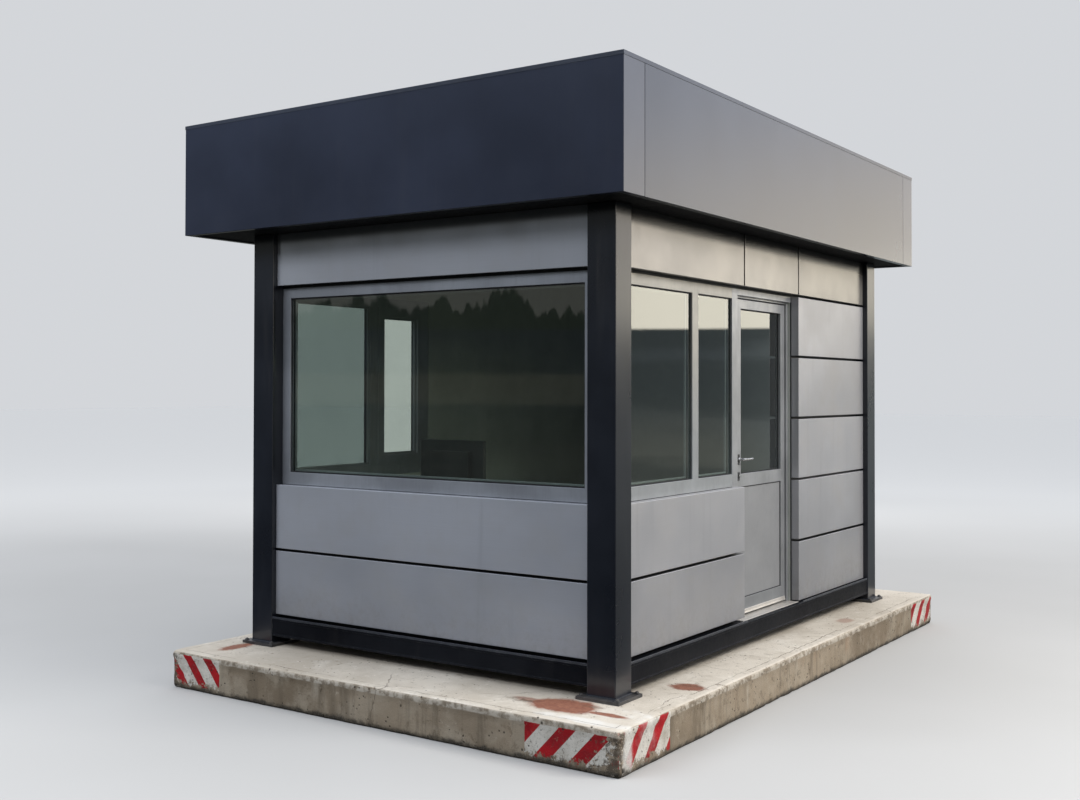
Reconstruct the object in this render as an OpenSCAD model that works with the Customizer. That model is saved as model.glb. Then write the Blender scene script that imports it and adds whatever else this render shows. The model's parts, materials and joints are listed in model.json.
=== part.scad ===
// Security guard booth: a prefabricated cabin with a deep flat roof band,
// standing on its low concrete island. All sizes are in millimetres.
// Front (big window) faces -Y, the door side faces +X, +Z is up.
// The origin is the bottom centre of the whole object's box.

/* [Cabin] */
// Width over the corner posts, left to right
cabin_w = 2680; // [2500:10:2900]
// Depth over the corner posts, front to back
cabin_d = 4180; // [4120:10:4700]
// Side of a square corner post
post = 175; // [150:5:190]
// Underside of the roof above the base plates
soffit_z = 2628; // [2600:2:2800]
// How far the wall panels stand back from the posts' faces
panel_set = 36; // [25:1:45]

/* [Walls] */
// Depth of a cladding panel, face to back
panel_t = 56; // [50:1:62]
// Thickness of the insulated wall behind the panels
core_t = 68; // [60:1:90]
// Lower edge of the lowest full panel row
row_z0 = 164; // [160:1:172]
// Height of one full panel row, joint included
row_h = 426; // [420:1:430]
// Lower edge of the panels under the windows
low_z0 = 180; // [172:1:190]
// Top of the panels under the windows
sill_z = 1010; // [960:2:1050]
// Open joint between panels
joint = 16; // [8:1:20]

/* [Windows] */
// Width of an outer frame bar
bar = 68; // [60:1:76]
// Width of a bar between two openings
mullion = 84; // [70:1:90]
// Wide pane beside the door
pane_a = 862; // [800:2:880]
// Narrow pane beside the door
pane_b = 488; // [440:2:500]
// Wide pane in the other side wall
pane_c = 755; // [700:5:800]
// Width of the sash in the other side wall
sash_w = 516; // [460:4:560]
// Depth of the aluminium frames
frame_t = 60; // [50:1:66]
// Thickness of the glass units
glass_t = 20; // [12:1:24]
// Depth of the glass behind the frames' faces
glass_set = 14; // [10:1:20]

/* [Door] */
// Width of the doorway between the wall's ends
door_w = 897; // [860:1:910]
// Height of the door leaf's visible top above the island's plates
door_top = 2219; // [2190:1:2222]
// Thickness of the door leaf
leaf_t = 40; // [38:1:44]
// Width of the leaf's stiles
stile = 69; // [60:1:80]
// Height of the lever above the island's plates
lever_z = 1179; // [1120:1:1200]

/* [Roof] */
// Height of the roof band
fascia_h = 710; // [500:10:800]
// Thickness of the band's panels
fascia_t = 40; // [30:1:60]
// Overhang at the front and at the back
over_y = 288; // [200:2:400]
// Overhang on the door side
over_right = 205; // [150:5:300]
// Overhang on the other side
over_left = 340; // [150:5:360]
// Length by which the front and back bands wrap around the corners
wrap = 224; // [150:2:260]

/* [Island] */
// Height of the concrete island
island_h = 232; // [150:2:300]
// Island in front of the posts
ledge_front = 475; // [450:5:700]
// Island behind the posts
ledge_back = 520; // [380:5:600]
// Island beyond the posts on the door side
ledge_right = 290; // [210:5:500]
// Island beyond the posts on the other side
ledge_left = 235; // [100:5:320]
// Radius of the island's corners
island_r = 30; // [20:2:60]

/* [Hidden] */
$fn = 48;

hx = cabin_w / 2;
hy = cabin_d / 2;
// the box of the whole object, about the cabin's own centre
x_lo = -hx - max(over_left, ledge_left);
x_hi = hx + max(over_right, ledge_right);
y_lo = -hy - max(over_y, ledge_front);
y_hi = hy + max(over_y, ledge_back);

// depths into a wall, measured from the posts' outer faces
d_panel = panel_set;
d_core = panel_set + panel_t;
d_in = d_core + core_t;
d_strip = d_core + 21;
d_leaf = d_core + 31;
plate_t = 18;
plate_m = 43;
beam_z0 = 44;
beam_z1 = 156;
beam_w = 100;
beam_set = 4;
floor_z = beam_z1;
thr_top = beam_z1 + 4;
head_z = row_z0 + 5 * row_h - joint - 2;
frame_z0 = sill_z + 2;
frame_z1 = head_z + 2;
roof_z0 = soffit_z - 8;
roof_z1 = roof_z0 + fascia_h;
ceiling_z = soffit_z - 100;

// stations along the door-side wall, from the front post towards the back
s0 = -hy + post;
s1 = s0 + bar;
s2 = s1 + pane_a;
s3 = s2 + mullion;
s4 = s3 + pane_b;
s5 = s4 + mullion;
s7 = s5 + door_w;
s8 = s7 + 7;
s9 = hy - post;
under_end = s5 - 18;

// the same for the other side wall
t2 = s1 + pane_c;
t3 = t2 + mullion;
t4 = t3 + sash_w;
t5 = t4 + bar;
sash_b = 65;

// door leaf: an outer slab, and an inner one that is wider all round
gap = 7;
over = 14;
leaf_x1 = hx - d_leaf;
leaf_xm = leaf_x1 - 23;
leaf_x0 = leaf_x1 - leaf_t;
leaf_y0 = s5 + 45 + gap;
leaf_y1 = s7 - 28 - gap;
leaf_z0 = thr_top + gap;
leaf_top = door_top;
hinge_x = leaf_x0 - 9;
hinge_y = leaf_y1 + over + 3;
pane_y0 = leaf_y0 + stile;
pane_y1 = leaf_y1 - stile;
glass_z0 = sill_z + 71;
glass_z1 = leaf_top - stile + 8;
rail_low = leaf_z0 + 106;
rail_mid = sill_z - 12;

module cell(x0, x1, y0, y1, z0, z1) {
  translate([x0, y0, z0]) cube([x1 - x0, y1 - y0, z1 - z0]);
}

// everything is placed about the bottom centre of the whole box;
// height 0 in here is the top of the posts' base plates
module place() {
  translate([-(x_lo + x_hi) / 2, -(y_lo + y_hi) / 2, island_h + plate_t]) children();
}

module at_posts() {
  for (sx = [-1, 1]) for (sy = [-1, 1])
    translate([sx * (hx - post / 2), sy * (hy - post / 2), 0]) children();
}

// ---- island and frame ----

module concrete_island() {
  color([0.66, 0.62, 0.55]) place()
    translate([0, 0, -island_h - plate_t]) linear_extrude(height = island_h)
      union() {
        translate([-hx - ledge_left + island_r, -hy - ledge_front])
          square([cabin_w + ledge_left + ledge_right - 2 * island_r, cabin_d + ledge_front + ledge_back]);
        translate([-hx - ledge_left, -hy - ledge_front + island_r])
          square([cabin_w + ledge_left + ledge_right, cabin_d + ledge_front + ledge_back - 2 * island_r]);
        for (x = [-hx - ledge_left + island_r, hx + ledge_right - island_r])
          for (y = [-hy - ledge_front + island_r, hy + ledge_back - island_r])
            translate([x, y]) circle(r = island_r);
      }
}

module corner_posts() {
  color([0.09, 0.11, 0.15]) place() at_posts()
    translate([-post / 2, -post / 2, 0]) cube([post, post, soffit_z]);
}

module base_plates() {
  color([0.08, 0.09, 0.12]) place() at_posts() difference() {
    translate([-post / 2 - plate_m, -post / 2 - plate_m, -plate_t]) cube([post + 2 * plate_m, post + 2 * plate_m, plate_t]);
    for (a = [-1, 1]) for (b = [-1, 1])
      translate([a * (post / 2 + 22), b * (post / 2 + 22), -plate_t - 1]) cylinder(r = 9, h = plate_t + 2);
  }
}

module sill_beams() {
  color([0.08, 0.10, 0.13]) place() {
    for (s = [-1, 1]) {
      translate([0, s * (hy - beam_set - beam_w / 2), beam_z0])
        translate([-hx + post, -beam_w / 2, 0]) cube([cabin_w - 2 * post, beam_w, beam_z1 - beam_z0]);
      translate([s * (hx - beam_set - beam_w / 2), 0, beam_z0])
        translate([-beam_w / 2, -hy + post, 0]) cube([beam_w, cabin_d - 2 * post, beam_z1 - beam_z0]);
    }
  }
}

module floor_deck() {
  color([0.35, 0.33, 0.31]) place() union() {
    cell(-hx + beam_set + beam_w, hx - beam_set - beam_w, -hy + post, hy - post, beam_z0 + 10, floor_z);
    cell(-hx + post, hx - post, -hy + beam_set + beam_w, hy - beam_set - beam_w, beam_z0 + 10, floor_z);
  }
}

// ---- insulated walls ----

module front_wall_lower() {
  color([0.74, 0.75, 0.77]) place()
    cell(-hx + post, hx - post, -hy + d_core, -hy + d_in, floor_z, frame_z0);
}

module front_wall_upper() {
  color([0.74, 0.75, 0.77]) place()
    cell(-hx + post, hx - post, -hy + d_core, -hy + d_in, frame_z1, soffit_z);
}

module right_wall_lower() {
  color([0.74, 0.75, 0.77]) place()
    cell(hx - d_in, hx - d_core, s0, s4, floor_z, frame_z0);
}

module right_wall_upper() {
  color([0.74, 0.75, 0.77]) place()
    cell(hx - d_in, hx - d_core, s0, s9, frame_z1, soffit_z);
}

module right_wall_rear() {
  color([0.74, 0.75, 0.77]) place()
    cell(hx - d_in, hx - d_core, s7, s9, floor_z, frame_z1);
}

module left_wall_lower() {
  color([0.74, 0.75, 0.77]) place()
    cell(-hx + d_core, -hx + d_in, s0, t5, floor_z, frame_z0);
}

module left_wall_upper() {
  color([0.74, 0.75, 0.77]) place()
    cell(-hx + d_core, -hx + d_in, s0, s9, frame_z1, soffit_z);
}

module left_wall_rear() {
  color([0.74, 0.75, 0.77]) place()
    cell(-hx + d_core, -hx + d_in, t5, s9, floor_z, frame_z1);
}

module back_wall() {
  color([0.74, 0.75, 0.77]) place()
    cell(-hx + post, hx - post, hy - d_in, hy - d_core, floor_z, soffit_z);
}

// ---- cladding: trays with open joints ----

// full rows of trays between stations a and b
module tray_rows(a, b) {
  for (n = [0 : 3])
    translate([a, 0, row_z0 + n * row_h]) cube([b - a, panel_t, row_h - joint]);
  translate([a, 0, row_z0 + 4 * row_h]) cube([b - a, panel_t, head_z - row_z0 - 4 * row_h]);
}

// the two rows under a window
module tray_low(a, b) {
  h = (sill_z - low_z0 - joint) / 2;
  for (n = [0, 1])
    translate([a, 0, low_z0 + n * (h + joint)]) cube([b - a, panel_t, h]);
}

module tray_top(a, b) {
  translate([a, 0, head_z + joint]) cube([b - a, panel_t, soffit_z - head_z - joint]);
}

// a wall's own frame: x runs along the wall, y into it, z up
module on_front() { translate([0, -hy + d_panel, 0]) children(); }
module on_back() { translate([0, hy - d_panel, 0]) mirror([0, 1, 0]) children(); }
module on_right() { translate([hx - d_panel, 0, 0]) rotate([0, 0, 90]) children(); }
module on_left() { translate([-hx + d_panel, 0, 0]) mirror([1, 0, 0]) rotate([0, 0, 90]) children(); }

module front_panels() {
  color([0.70, 0.71, 0.74]) place() on_front() {
    tray_low(-hx + post, hx - post);
    tray_top(-hx + post, hx - post);
  }
}

module right_panels() {
  color([0.76, 0.75, 0.73]) place() on_right() {
    tray_low(s0, under_end);
    tray_rows(s8, s9);
    tray_top(s0, under_end - joint / 2);
    tray_top(under_end + joint / 2, s8 - joint / 2);
    tray_top(s8 + joint / 2, s9);
  }
}

module left_panels() {
  color([0.72, 0.72, 0.73]) place() on_left() {
    tray_low(s0, t5);
    tray_rows(t5 + joint, s8 - joint / 2);
    tray_rows(s8 + joint / 2, s9);
    tray_top(s0, t5);
    tray_top(t5 + joint, s8 - joint / 2);
    tray_top(s8 + joint / 2, s9);
  }
}

module back_panels() {
  color([0.70, 0.71, 0.73]) place() on_back() {
    tray_rows(-hx + post, hx - post);
    tray_top(-hx + post, hx - post);
  }
}

// ---- windows ----

// a flat ring of bars: outer a..b by z0..z1, with openings cut from a list
module bars(a, b, z0, z1, holes) {
  difference() {
    cell(a, b, 0, frame_t, z0, z1);
    for (h = holes) cell(h[0], h[1], -1, frame_t + 1, h[2], h[3]);
  }
}

module pane(a, b, z0, z1) {
  cell(a - 8, b + 8, glass_set, glass_set + glass_t, z0 - 8, z1 + 8);
}

// the rebate that a pane sits in
module pane_slot(a, b, z0, z1) {
  cell(a - 8, b + 8, glass_set, glass_set + glass_t, z0 - 8, z1 + 8);
}

module on_front_core() { translate([0, -hy + d_core, 0]) children(); }
module on_right_core() { translate([hx - d_core, 0, 0]) rotate([0, 0, 90]) children(); }
module on_left_core() { translate([-hx + d_core, 0, 0]) mirror([1, 0, 0]) rotate([0, 0, 90]) children(); }

pane_z0 = frame_z0 + bar + 11;
pane_z1 = frame_z1 - bar + 2;

module front_window_frame() {
  color([0.45, 0.47, 0.52]) place() on_front_core() difference() {
    bars(-hx + post, hx - post, frame_z0, frame_z1, [[-hx + post + bar, hx - post - bar, pane_z0, pane_z1]]);
    pane_slot(-hx + post + bar, hx - post - bar, pane_z0, pane_z1);
  }
}

module front_window_glass() {
  color([0.25, 0.32, 0.32, 0.5]) place() on_front_core()
    pane(-hx + post + bar, hx - post - bar, pane_z0, pane_z1);
}

module right_window_frame() {
  color([0.55, 0.56, 0.58]) place() on_right_core() difference() {
    bars(s0, s4, frame_z0, frame_z1, [[s1, s2, pane_z0, pane_z1], [s3, s4 + 1, pane_z0, pane_z1]]);
    pane_slot(s1, s2, pane_z0, pane_z1);
    pane_slot(s3, s4, pane_z0, pane_z1);
  }
}

module right_window_glass() {
  color([0.25, 0.32, 0.32, 0.5]) place() on_right_core() {
    pane(s1, s2, pane_z0, pane_z1);
    cell(s3 - 8, s4, glass_set, glass_set + glass_t, pane_z0 - 8, pane_z1 + 8);
  }
}

module left_window_frame() {
  color([0.50, 0.52, 0.55]) place() on_left_core() difference() {
    bars(s0, t5, frame_z0, frame_z1, [[s1, t2, pane_z0, pane_z1], [t3, t4, pane_z0, pane_z1]]);
    pane_slot(s1, t2, pane_z0, pane_z1);
  }
}

module left_window_sash() {
  color([0.50, 0.52, 0.55]) place() on_left_core() difference() {
    cell(t3, t4, 8, frame_t + 8, pane_z0, pane_z1);
    cell(t3 + sash_b, t4 - sash_b, 0, frame_t + 9, pane_z0 + sash_b, pane_z1 - sash_b);
    pane_slot(t3 + sash_b, t4 - sash_b, pane_z0 + sash_b, pane_z1 - sash_b);
  }
}

module left_window_glass() {
  color([0.25, 0.32, 0.32, 0.5]) place() on_left_core() {
    pane(s1, t2, pane_z0, pane_z1);
    pane(t3 + sash_b, t4 - sash_b, pane_z0 + sash_b, pane_z1 - sash_b);
  }
}

// ---- door ----

// jamb shared with the window, head, and the set-back lining around the leaf
module door_frame() {
  color([0.55, 0.56, 0.58]) place() on_right_core() difference() {
    union() {
      cell(s4, s5, 0, frame_t, floor_z, frame_z1);
      cell(s4, s7, 0, frame_t, leaf_top + over + gap, frame_z1);
      difference() {
        cell(s5 - 1, s7, d_strip - d_core, core_t, thr_top, leaf_top + over + gap + 1);
        cell(leaf_y0 - gap, leaf_y1 + gap, 0, core_t + 1, thr_top - 1, leaf_top + gap);
        cell(leaf_y0 - over - gap, leaf_y1 + over + gap, d_leaf + 16 - d_core, core_t + 1, thr_top - 1, leaf_top + over + gap);
      }
    }
    // the narrow pane's edge sits in the jamb's face
    cell(s4 - 1, s4, 0, frame_t, floor_z, frame_z1);
  }
}

// metal sheet over the sill in the doorway, with a nose in front of the jambs
module door_threshold() {
  color([0.78, 0.77, 0.75]) place() union() {
    cell(hx - d_in, hx - 38, s5, s7, beam_z1, thr_top);
    cell(hx - d_core + 3, hx - 38, s5 - 41, s5 + 1, beam_z1, thr_top);
  }
}

module door_leaf() {
  color([0.55, 0.56, 0.58]) place() difference() {
    union() {
      cell(leaf_xm - 1, leaf_x1, leaf_y0, leaf_y1, leaf_z0, leaf_top);
      cell(leaf_x0, leaf_xm, leaf_y0 - over, leaf_y1 + over, leaf_z0, leaf_top + over);
    }
    cell(leaf_x0 - 1, leaf_x1 + 1, pane_y0, pane_y1, glass_z0, glass_z1);
    cell(leaf_x0 - 1, leaf_x1 + 1, pane_y0, pane_y1, rail_low, rail_mid);
    // grooves for the glass and the lower panel
    cell(leaf_x0 + 6, leaf_x0 + 20, pane_y0 - 8, pane_y1 + 8, glass_z0 - 8, glass_z1 + 8);
    cell(leaf_x0 + 8, leaf_x1 - 8, pane_y0 - 8, pane_y1 + 8, rail_low - 8, rail_mid + 8);
  }
}

module door_glass() {
  color([0.25, 0.32, 0.32, 0.5]) place()
    cell(leaf_x0 + 6, leaf_x0 + 20, pane_y0 - 8, pane_y1 + 8, glass_z0 - 8, glass_z1 + 8);
}

module door_panel() {
  color([0.60, 0.60, 0.60]) place()
    cell(leaf_x0 + 8, leaf_x1 - 8, pane_y0 - 8, pane_y1 + 8, rail_low - 8, rail_mid + 8);
}

// both faces of the leaf, with x pointing out of the face
module on_leaf_faces() {
  for (s = [0, 1])
    translate([s == 0 ? leaf_x1 : leaf_x0, leaf_y0 + 22, 0]) mirror([s, 0, 0]) children();
}

// a lever and its neck on each face
module door_lever() {
  color([0.75, 0.75, 0.76]) place() on_leaf_faces() translate([0, 0, lever_z]) union() {
    translate([7, 0, 0]) rotate([0, 90, 0]) cylinder(r = 9, h = 38);
    translate([45, 0, 0]) rotate([-90, 0, 0]) cylinder(r = 8, h = 131);
    translate([45, 0, 0]) sphere(r = 9);
    translate([45, 131, 0]) sphere(r = 8);
  }
}

// dark plates behind the lever and around the key cylinder
module door_lock() {
  color([0.15, 0.15, 0.16]) place() on_leaf_faces() {
    translate([0, -15, lever_z - 34]) cube([7, 30, 66]);
    translate([0, -15, lever_z - 138]) difference() {
      union() {
        cube([7, 30, 56]);
        translate([6, 15, 28]) rotate([0, 90, 0]) cylinder(r = 9, h = 5);
      }
      translate([8, 13.5, 22]) cube([4, 3, 12]);
    }
  }
}

hinge_zs = [leaf_z0 + 180, leaf_z0 + 980, leaf_top - 260];
hinge_l = hx - d_in - hinge_x;

module hinge_frame_halves() {
  color([0.45, 0.46, 0.48]) place() for (z = hinge_zs)
    translate([hinge_x, hinge_y, z]) union() {
      cylinder(r = 7, h = 39);
      cell(0, hinge_l, 3, 7, 0, 39);
      cell(hinge_l - 4, hinge_l, 3, 46, 0, 80);
      translate([0, 0, 39]) cylinder(r = 3.6, h = 38);
    }
}

module hinge_door_halves() {
  color([0.45, 0.46, 0.48]) place() for (z = hinge_zs)
    translate([hinge_x, hinge_y, z]) difference() {
      union() {
        translate([0, 0, 40.5]) cylinder(r = 7, h = 39.5);
        cell(0, 9, -6.5, -3, 40.5, 80);
        cell(5.5, 9, -48, -3, 40.5, 80);
      }
      translate([0, 0, 30]) cylinder(r = 4, h = 49);
    }
}

// ---- roof ----

module ceiling_panel() {
  color([0.80, 0.80, 0.80]) place()
    union() {
      cell(-hx + d_in, hx - d_in, -hy + post, hy - post, ceiling_z, soffit_z);
      cell(-hx + post, hx - post, -hy + d_in, hy - d_in, ceiling_z, soffit_z);
    }
}

rx0 = -hx - over_left;
rx1 = hx + over_right;
ry0 = -hy - over_y;
ry1 = hy + over_y;

module soffit_panel() {
  color([0.16, 0.16, 0.17]) place()
    cell(rx0 + fascia_t, rx1 - fascia_t, ry0 + fascia_t, ry1 - fascia_t, soffit_z, soffit_z + 20);
}

module roof_deck() {
  color([0.45, 0.46, 0.48]) place()
    cell(rx0 + fascia_t, rx1 - fascia_t, ry0 + fascia_t, ry1 - fascia_t, soffit_z + 20, soffit_z + 160);
}

// end band: the long face and its two returns, which wrap the corners
module end_band() {
  difference() {
    cell(rx0, rx1, 0, wrap, roof_z0, roof_z1);
    cell(rx0 + fascia_t, rx1 - fascia_t, fascia_t, wrap + 1, roof_z0 - 1, roof_z1 + 1);
  }
}

module roof_band_front() {
  color([0.12, 0.14, 0.19]) place() translate([0, ry0, 0]) end_band();
}

module roof_band_back() {
  color([0.12, 0.14, 0.19]) place() translate([0, ry1, 0]) mirror([0, 1, 0]) end_band();
}

module roof_band_right() {
  color([0.42, 0.42, 0.42]) place()
    cell(rx1 - fascia_t, rx1, ry0 + wrap + 3, ry1 - wrap - 3, roof_z0, roof_z1);
}

module roof_band_left() {
  color([0.42, 0.42, 0.42]) place()
    cell(rx0, rx0 + fascia_t, ry0 + wrap + 3, ry1 - wrap - 3, roof_z0, roof_z1);
}

// folded cap around the top of the band
module roof_coping() {
  color([0.10, 0.11, 0.13]) place() difference() {
    cell(rx0 - 2, rx1 + 2, ry0 - 2, ry1 + 2, roof_z1 - 20, roof_z1 + 3);
    cell(rx0, rx1, ry0, ry1, roof_z1 - 21, roof_z1);
    cell(rx0 + fascia_t + 12, rx1 - fascia_t - 12, ry0 + fascia_t + 12, ry1 - fascia_t - 12, roof_z1 - 1, roof_z1 + 4);
  }
}

// ---- inside ----

desk_z = floor_z + 750;

module desk() {
  color([0.42, 0.36, 0.30]) place() union() {
    cell(-hx + post + 10, 300, -hy + post + 10, -hy + post + 650, desk_z - 25, desk_z);
    for (x = [-hx + post + 40, 245]) cell(x, x + 25, -hy + post + 60, -hy + post + 610, floor_z, desk_z - 24);
    cell(-hx + post + 50, 250, -hy + post + 80, -hy + post + 98, floor_z + 300, desk_z - 24);
  }
}

// screen with its stand, its back to the front window
module monitor() {
  color([0.05, 0.05, 0.05]) place() translate([-170, -hy + 600, desk_z]) union() {
    translate([-130, -90, 0]) cube([260, 180, 12]);
    translate([-30, -20, 11]) cube([60, 24, 120]);
    translate([-245, -10, 90]) cube([490, 34, 310]);
    translate([-150, -40, 130]) cube([300, 40, 200]);
  }
}

concrete_island();
corner_posts();
base_plates();
sill_beams();
floor_deck();
front_wall_lower();
front_wall_upper();
right_wall_lower();
right_wall_upper();
right_wall_rear();
left_wall_lower();
left_wall_upper();
left_wall_rear();
back_wall();
front_panels();
right_panels();
left_panels();
back_panels();
front_window_frame();
front_window_glass();
right_window_frame();
right_window_glass();
left_window_frame();
left_window_sash();
left_window_glass();
door_frame();
door_threshold();
door_leaf();
door_glass();
door_panel();
door_lever();
door_lock();
hinge_frame_halves();
hinge_door_halves();
ceiling_panel();
soffit_panel();
roof_deck();
roof_band_front();
roof_band_back();
roof_band_right();
roof_band_left();
roof_coping();
desk();
monitor();
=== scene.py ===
import json
import math

import bmesh
import bpy
import numpy as np
from mathutils import Matrix, Vector

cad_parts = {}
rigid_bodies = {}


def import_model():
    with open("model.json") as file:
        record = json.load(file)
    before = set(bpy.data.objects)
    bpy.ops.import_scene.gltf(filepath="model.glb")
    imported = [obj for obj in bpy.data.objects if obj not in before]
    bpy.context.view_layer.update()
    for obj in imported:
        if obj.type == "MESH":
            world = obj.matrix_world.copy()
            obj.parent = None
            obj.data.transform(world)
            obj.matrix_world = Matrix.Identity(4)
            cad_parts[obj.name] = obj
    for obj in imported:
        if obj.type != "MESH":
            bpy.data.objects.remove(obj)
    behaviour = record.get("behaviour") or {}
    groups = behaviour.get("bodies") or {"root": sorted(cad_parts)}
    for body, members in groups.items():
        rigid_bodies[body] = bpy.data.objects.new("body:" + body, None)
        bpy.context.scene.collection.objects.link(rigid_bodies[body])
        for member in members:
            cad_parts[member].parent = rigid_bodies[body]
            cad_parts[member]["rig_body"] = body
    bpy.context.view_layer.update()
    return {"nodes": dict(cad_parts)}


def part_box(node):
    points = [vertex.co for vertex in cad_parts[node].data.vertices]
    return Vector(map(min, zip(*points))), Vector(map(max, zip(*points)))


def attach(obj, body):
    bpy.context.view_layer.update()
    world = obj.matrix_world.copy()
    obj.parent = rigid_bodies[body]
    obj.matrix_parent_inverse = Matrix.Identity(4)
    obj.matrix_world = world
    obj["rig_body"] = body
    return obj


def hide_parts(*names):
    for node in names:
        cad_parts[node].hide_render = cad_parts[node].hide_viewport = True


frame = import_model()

NODES = frame["nodes"]
scene = bpy.context.scene


# ------------------------------------------------------------------ camera
def make_camera():
    data = bpy.data.cameras.new("view_camera")
    data.sensor_fit = "HORIZONTAL"
    data.sensor_width = 36.0
    data.lens = 42.31467
    data.shift_x = 0.0786128
    data.shift_y = -0.0282930
    data.clip_start, data.clip_end = 0.1, 400.0
    cam = bpy.data.objects.new("view_camera", data)
    scene.collection.objects.link(cam)
    rt = Vector((0.805565544, 0.592500785, 0.002640836))
    up = Vector((0.007008033, -0.013984695, 0.999877650))
    fw = Vector((-0.592465224, 0.805448476, 0.015417854))
    rot = Matrix((rt, up, -fw)).transposed()
    cam.matrix_world = Matrix.Translation((4.6427367, -7.9952759, 1.8794283)) @ rot.to_4x4()
    scene.camera = cam


make_camera()


# ------------------------------------------------------------------ light
BACKDROP = (0.655, 0.672, 0.700)


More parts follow.
